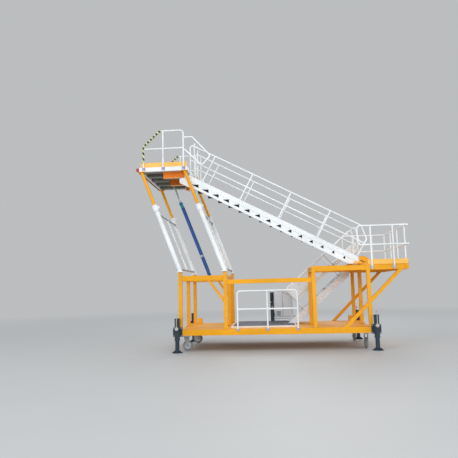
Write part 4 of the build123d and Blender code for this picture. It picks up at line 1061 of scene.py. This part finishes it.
def power_pack_fittings():
    """Fins, fan cover, terminal box, gauges and pipes of the hydraulic power pack."""
    fins, covers, pipes, gauges = shapes("chassis", motor_fins=dark, pack_covers=dark,
                                         pack_pipes=black_rubber, pack_gauges=aluminium)
    low, high = box("hydraulic_unit")
    middle = (low + high) / 2
    tank_top = high.z - MOTOR_TALL
    axis, front = Vector((middle.x, middle.y, 0)), Vector((middle.x, low.y, tank_top))
    for out in spokes(20):
        fins.box(axis + Z * (tank_top + 0.17) + out * (MOTOR_RADIUS + 0.001), (0.012, 0.003, 0.2),
                 (out, Z.cross(out), Z))
    covers.sleeve(axis + Z * (high.z - 0.07), axis + Z * (high.z + 0.004), MOTOR_RADIUS * 0.4,
                  MOTOR_RADIUS + 0.007)
    covers.span((low.x - 0.006, low.y - 0.006, tank_top - 0.014),
                (high.x + 0.006, high.y + 0.006, tank_top), CUT)
    covers.span((middle.x - 0.035, low.y + 0.02, tank_top + 0.1),
                (middle.x + 0.035, middle.y - 0.04, tank_top + 0.2), 0.004)
    gauges.lathe(front + Vector((-0.03, 0.03, 0)), Z,
                 ((0, 0.016), (0.02, 0.016), (0.024, 0.022), (0.045, 0.022), (0.05, 0.018)))
    gauges.lathe(front - Z * 0.12, -Y, ((0, 0.022), (0.008, 0.022), (0.012, 0.019)))
    for shift, drop in ((0, 0.30), (0.02, 0.36)):
        start = Vector((high.x - shift, low.y - 0.002, tank_top - drop))
        pipes.pipe([start + Vector(step) for step in ((0, 0.02, 0), (0, -0.018, 0),
                    (0.016, -0.018, -0.12 - shift), (0.03, 0.03, -0.14 - shift))], 0.008, 0.03)
    pipes.pipe([front + Vector(step) for step in ((0.02, 0.05, 0.26), (0.02, -0.01, 0.26),
                (-0.03, -0.012, 0.06), (-0.03, 0.02, -0.05))], 0.009, 0.05)


def front_rail_fittings():
    """Clamps and welds of the guard rail on the base's front beam."""
    face, level = box("base_side_beams")[1].y, box("front_guard_rail")[0].z
    post_clamps("front_rail_clamps", "front_guard_rail", face, level, lilac, tall=0.05)
    rail_welds("front_rail_welds", "front_guard_rail", white, lambda end: end.z < level + 0.1)


# Jacks and casters

def jack_fittings():
    """Flange bolts and ribs, tube and gear caps, crank grips and foot ribs of the four screw jacks."""
    shell, bolts, silver, grips = shapes("chassis", jack_caps=dark, jack_bolts=bolt_steel,
                                         gear_caps=aluminium, crank_grips=black_plastic)
    cap_profile = ((0, JACK_TUBE + 0.0015), (0.002, JACK_TUBE + 0.005), (0.03, JACK_TUBE + 0.005),
                   (0.036, JACK_TUBE * 0.75), (0.044, JACK_TUBE * 0.3))
    gear_profile = ((0, 0.0462), (0.024, 0.0462), (0.032, 0.040), (0.0345, 0.02))
    grip_profile = ((0, 0.011), (0.004, 0.0155), (0.024, 0.0155), (0.030, 0.010))
    bodies, side_face = solids("jack_bodies"), box("base_side_beams")[1].y
    for corner in CORNERS:
        axis = centre(box(f"jack_foot_{corner}"))
        axis.z = 0
        way = Y * math.copysign(1, axis.y)
        own = min(bodies, key=lambda points: (centre(extent(points)) - axis).xy.length)
        bottom, top = (axis + Z * end.z for end in extent(own))
        flange = Vector((axis.x, way.y * side_face, FLANGE_FOOT))
        bolts.four_bolts(flange + way * 0.02 + Z * 0.129, X * 0.104, Z * 0.102, way, 0.014)
        shell.lathe(top - Z * 0.03, Z, cap_profile)
        silver.rod(top + Z * 0.012, top + Z * 0.032, 0.013, 0.010)
        shell.sleeve(bottom, bottom + Z * 0.035, JACK_TUBE - 0.001, JACK_TUBE + 0.007)
        for z in (0.0925, 0.2025):
            shell.box(flange + way * 0.035 + Z * z, (0.17, 0.03, 0.012), chamfer=CUT)
        gear = axis + way * (JACK_TUBE + GEAR_REACH) + Z * GEAR_HEIGHT
        silver.lathe(gear - way * 0.03, way, gear_profile)
        for out in spokes(6, X, Z):
            bolts.bolt(gear + out * 0.031 + way * 0.001, way, 0.005)
        crank = gear - way * CRANK_INSET
        grips.lathe(crank - way * 0.012 + Z * (CRANK_TALL - 0.010), -way, grip_profile)
        silver.sleeve(crank + Z * 0.045, crank + Z * 0.085, 0.009, 0.014)

        ribs = Shape(f"jack_foot_ribs_{corner}", dark, f"jack_{corner}")
        for out in spokes(8):
            side = Z.cross(out) * 0.004
            inner, outer = axis + out * (JACK_LEG - 0.002) - side, axis + out * 0.132 - side
            ribs.prism([inner + Z * 0.014, outer + Z * 0.014, outer + Z * 0.022, inner + Z * 0.075], side * 2)
        ribs.ring(axis + Z * 0.016, Z, JACK_LEG)
        ribs.ring(axis + Z * 0.012, Z, 0.146, 0.004, sides=40)


def caster_fittings():
    """Rims, hubs, tread grooves, axle nuts, bearings, pedals and plate bolts of the four casters."""
    bearings, plate_bolts = shapes("chassis", caster_bearings=zinc, caster_plate_bolts=bolt_steel)
    rim_profile = ((-0.004, 0.088), (0.0005, 0.088), (0.0025, 0.084), (0.0025, 0.074), (0.0005, 0.070),
                   (0.0005, 0.036), (0.0028, 0.032), (0.0028, 0.0155))
    for corner in CORNERS:
        rims = Shape(f"wheel_rims_{corner}", aluminium, f"wheel_{corner}")
        grooves = Shape(f"wheel_grooves_{corner}", black_rubber, f"wheel_{corner}")
        fork = Shape(f"fork_fittings_{corner}", zinc, f"caster_{corner}")
        low, high = box(f"caster_wheel_{corner}")
        hub, radius = (low + high) / 2, (high.z - low.z) / 2
        axle, trail = (Y, X) if runs_along_x(low, high) else (X, Y)
        ways = (trail, axle, Z)
        for side in (-axle, axle):
            face = hub + side * WHEEL_WIDE / 2
            rims.lathe(face, side, rim_profile, 40)
            for out in spokes(6, trail, axle.cross(trail)):
                rims.box(face + out * 0.053 + side * 0.0012, (0.036, 0.0026, 0.010),
                         (out, side, out.cross(side)))
            grooves.ring(face - side * 0.010, axle, radius - 0.010, 0.0045, 48)
            cheek = face + side * 0.015
            fork.bolt(cheek, side, 0.020)
            fork.ring(cheek + side * 0.001, axle, 0.026, 0.003)
            fork.box(cheek + Z * 0.145 - trail * 0.03 + side * 0.002, (0.05, 0.004, 0.10), ways, 0.001)
        for shift in (-0.012, 0.012):
            grooves.ring(hub + axle * shift, axle, radius - 0.0008, 0.0016, 48)
        crown = hub - trail * CASTER_TRAIL
        crown.z = box(f"caster_fork_{corner}")[1].z
        fork.sleeve(crown - Z * 0.004, crown + Z * 0.005, 0.030, 0.062)
        fork.box(crown - trail * 0.085 - Z * 0.02, (0.055, 0.05, 0.006), ways, CUT)
        plate = crown + Z * 0.008
        bearings.sleeve(plate - Z * 0.0015, plate + Z * 0.010, 0.029, 0.064)
        plate_bolts.four_bolts(plate, X * 0.057, Y * 0.057, -Z, 0.0075)


for fit in (base_fittings, tower_fittings, leg_fittings, cylinder_fittings, platform_fittings, stair_fittings,
            foot_fittings, landing_fittings, lower_stair_fittings, cabinet_fittings, power_pack_fittings,
            front_rail_fittings, jack_fittings, caster_fittings):
    fit()
pieces = {shape.name: shape.done() for shape in Shape.gathered}
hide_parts("stair_stringers")
studio()
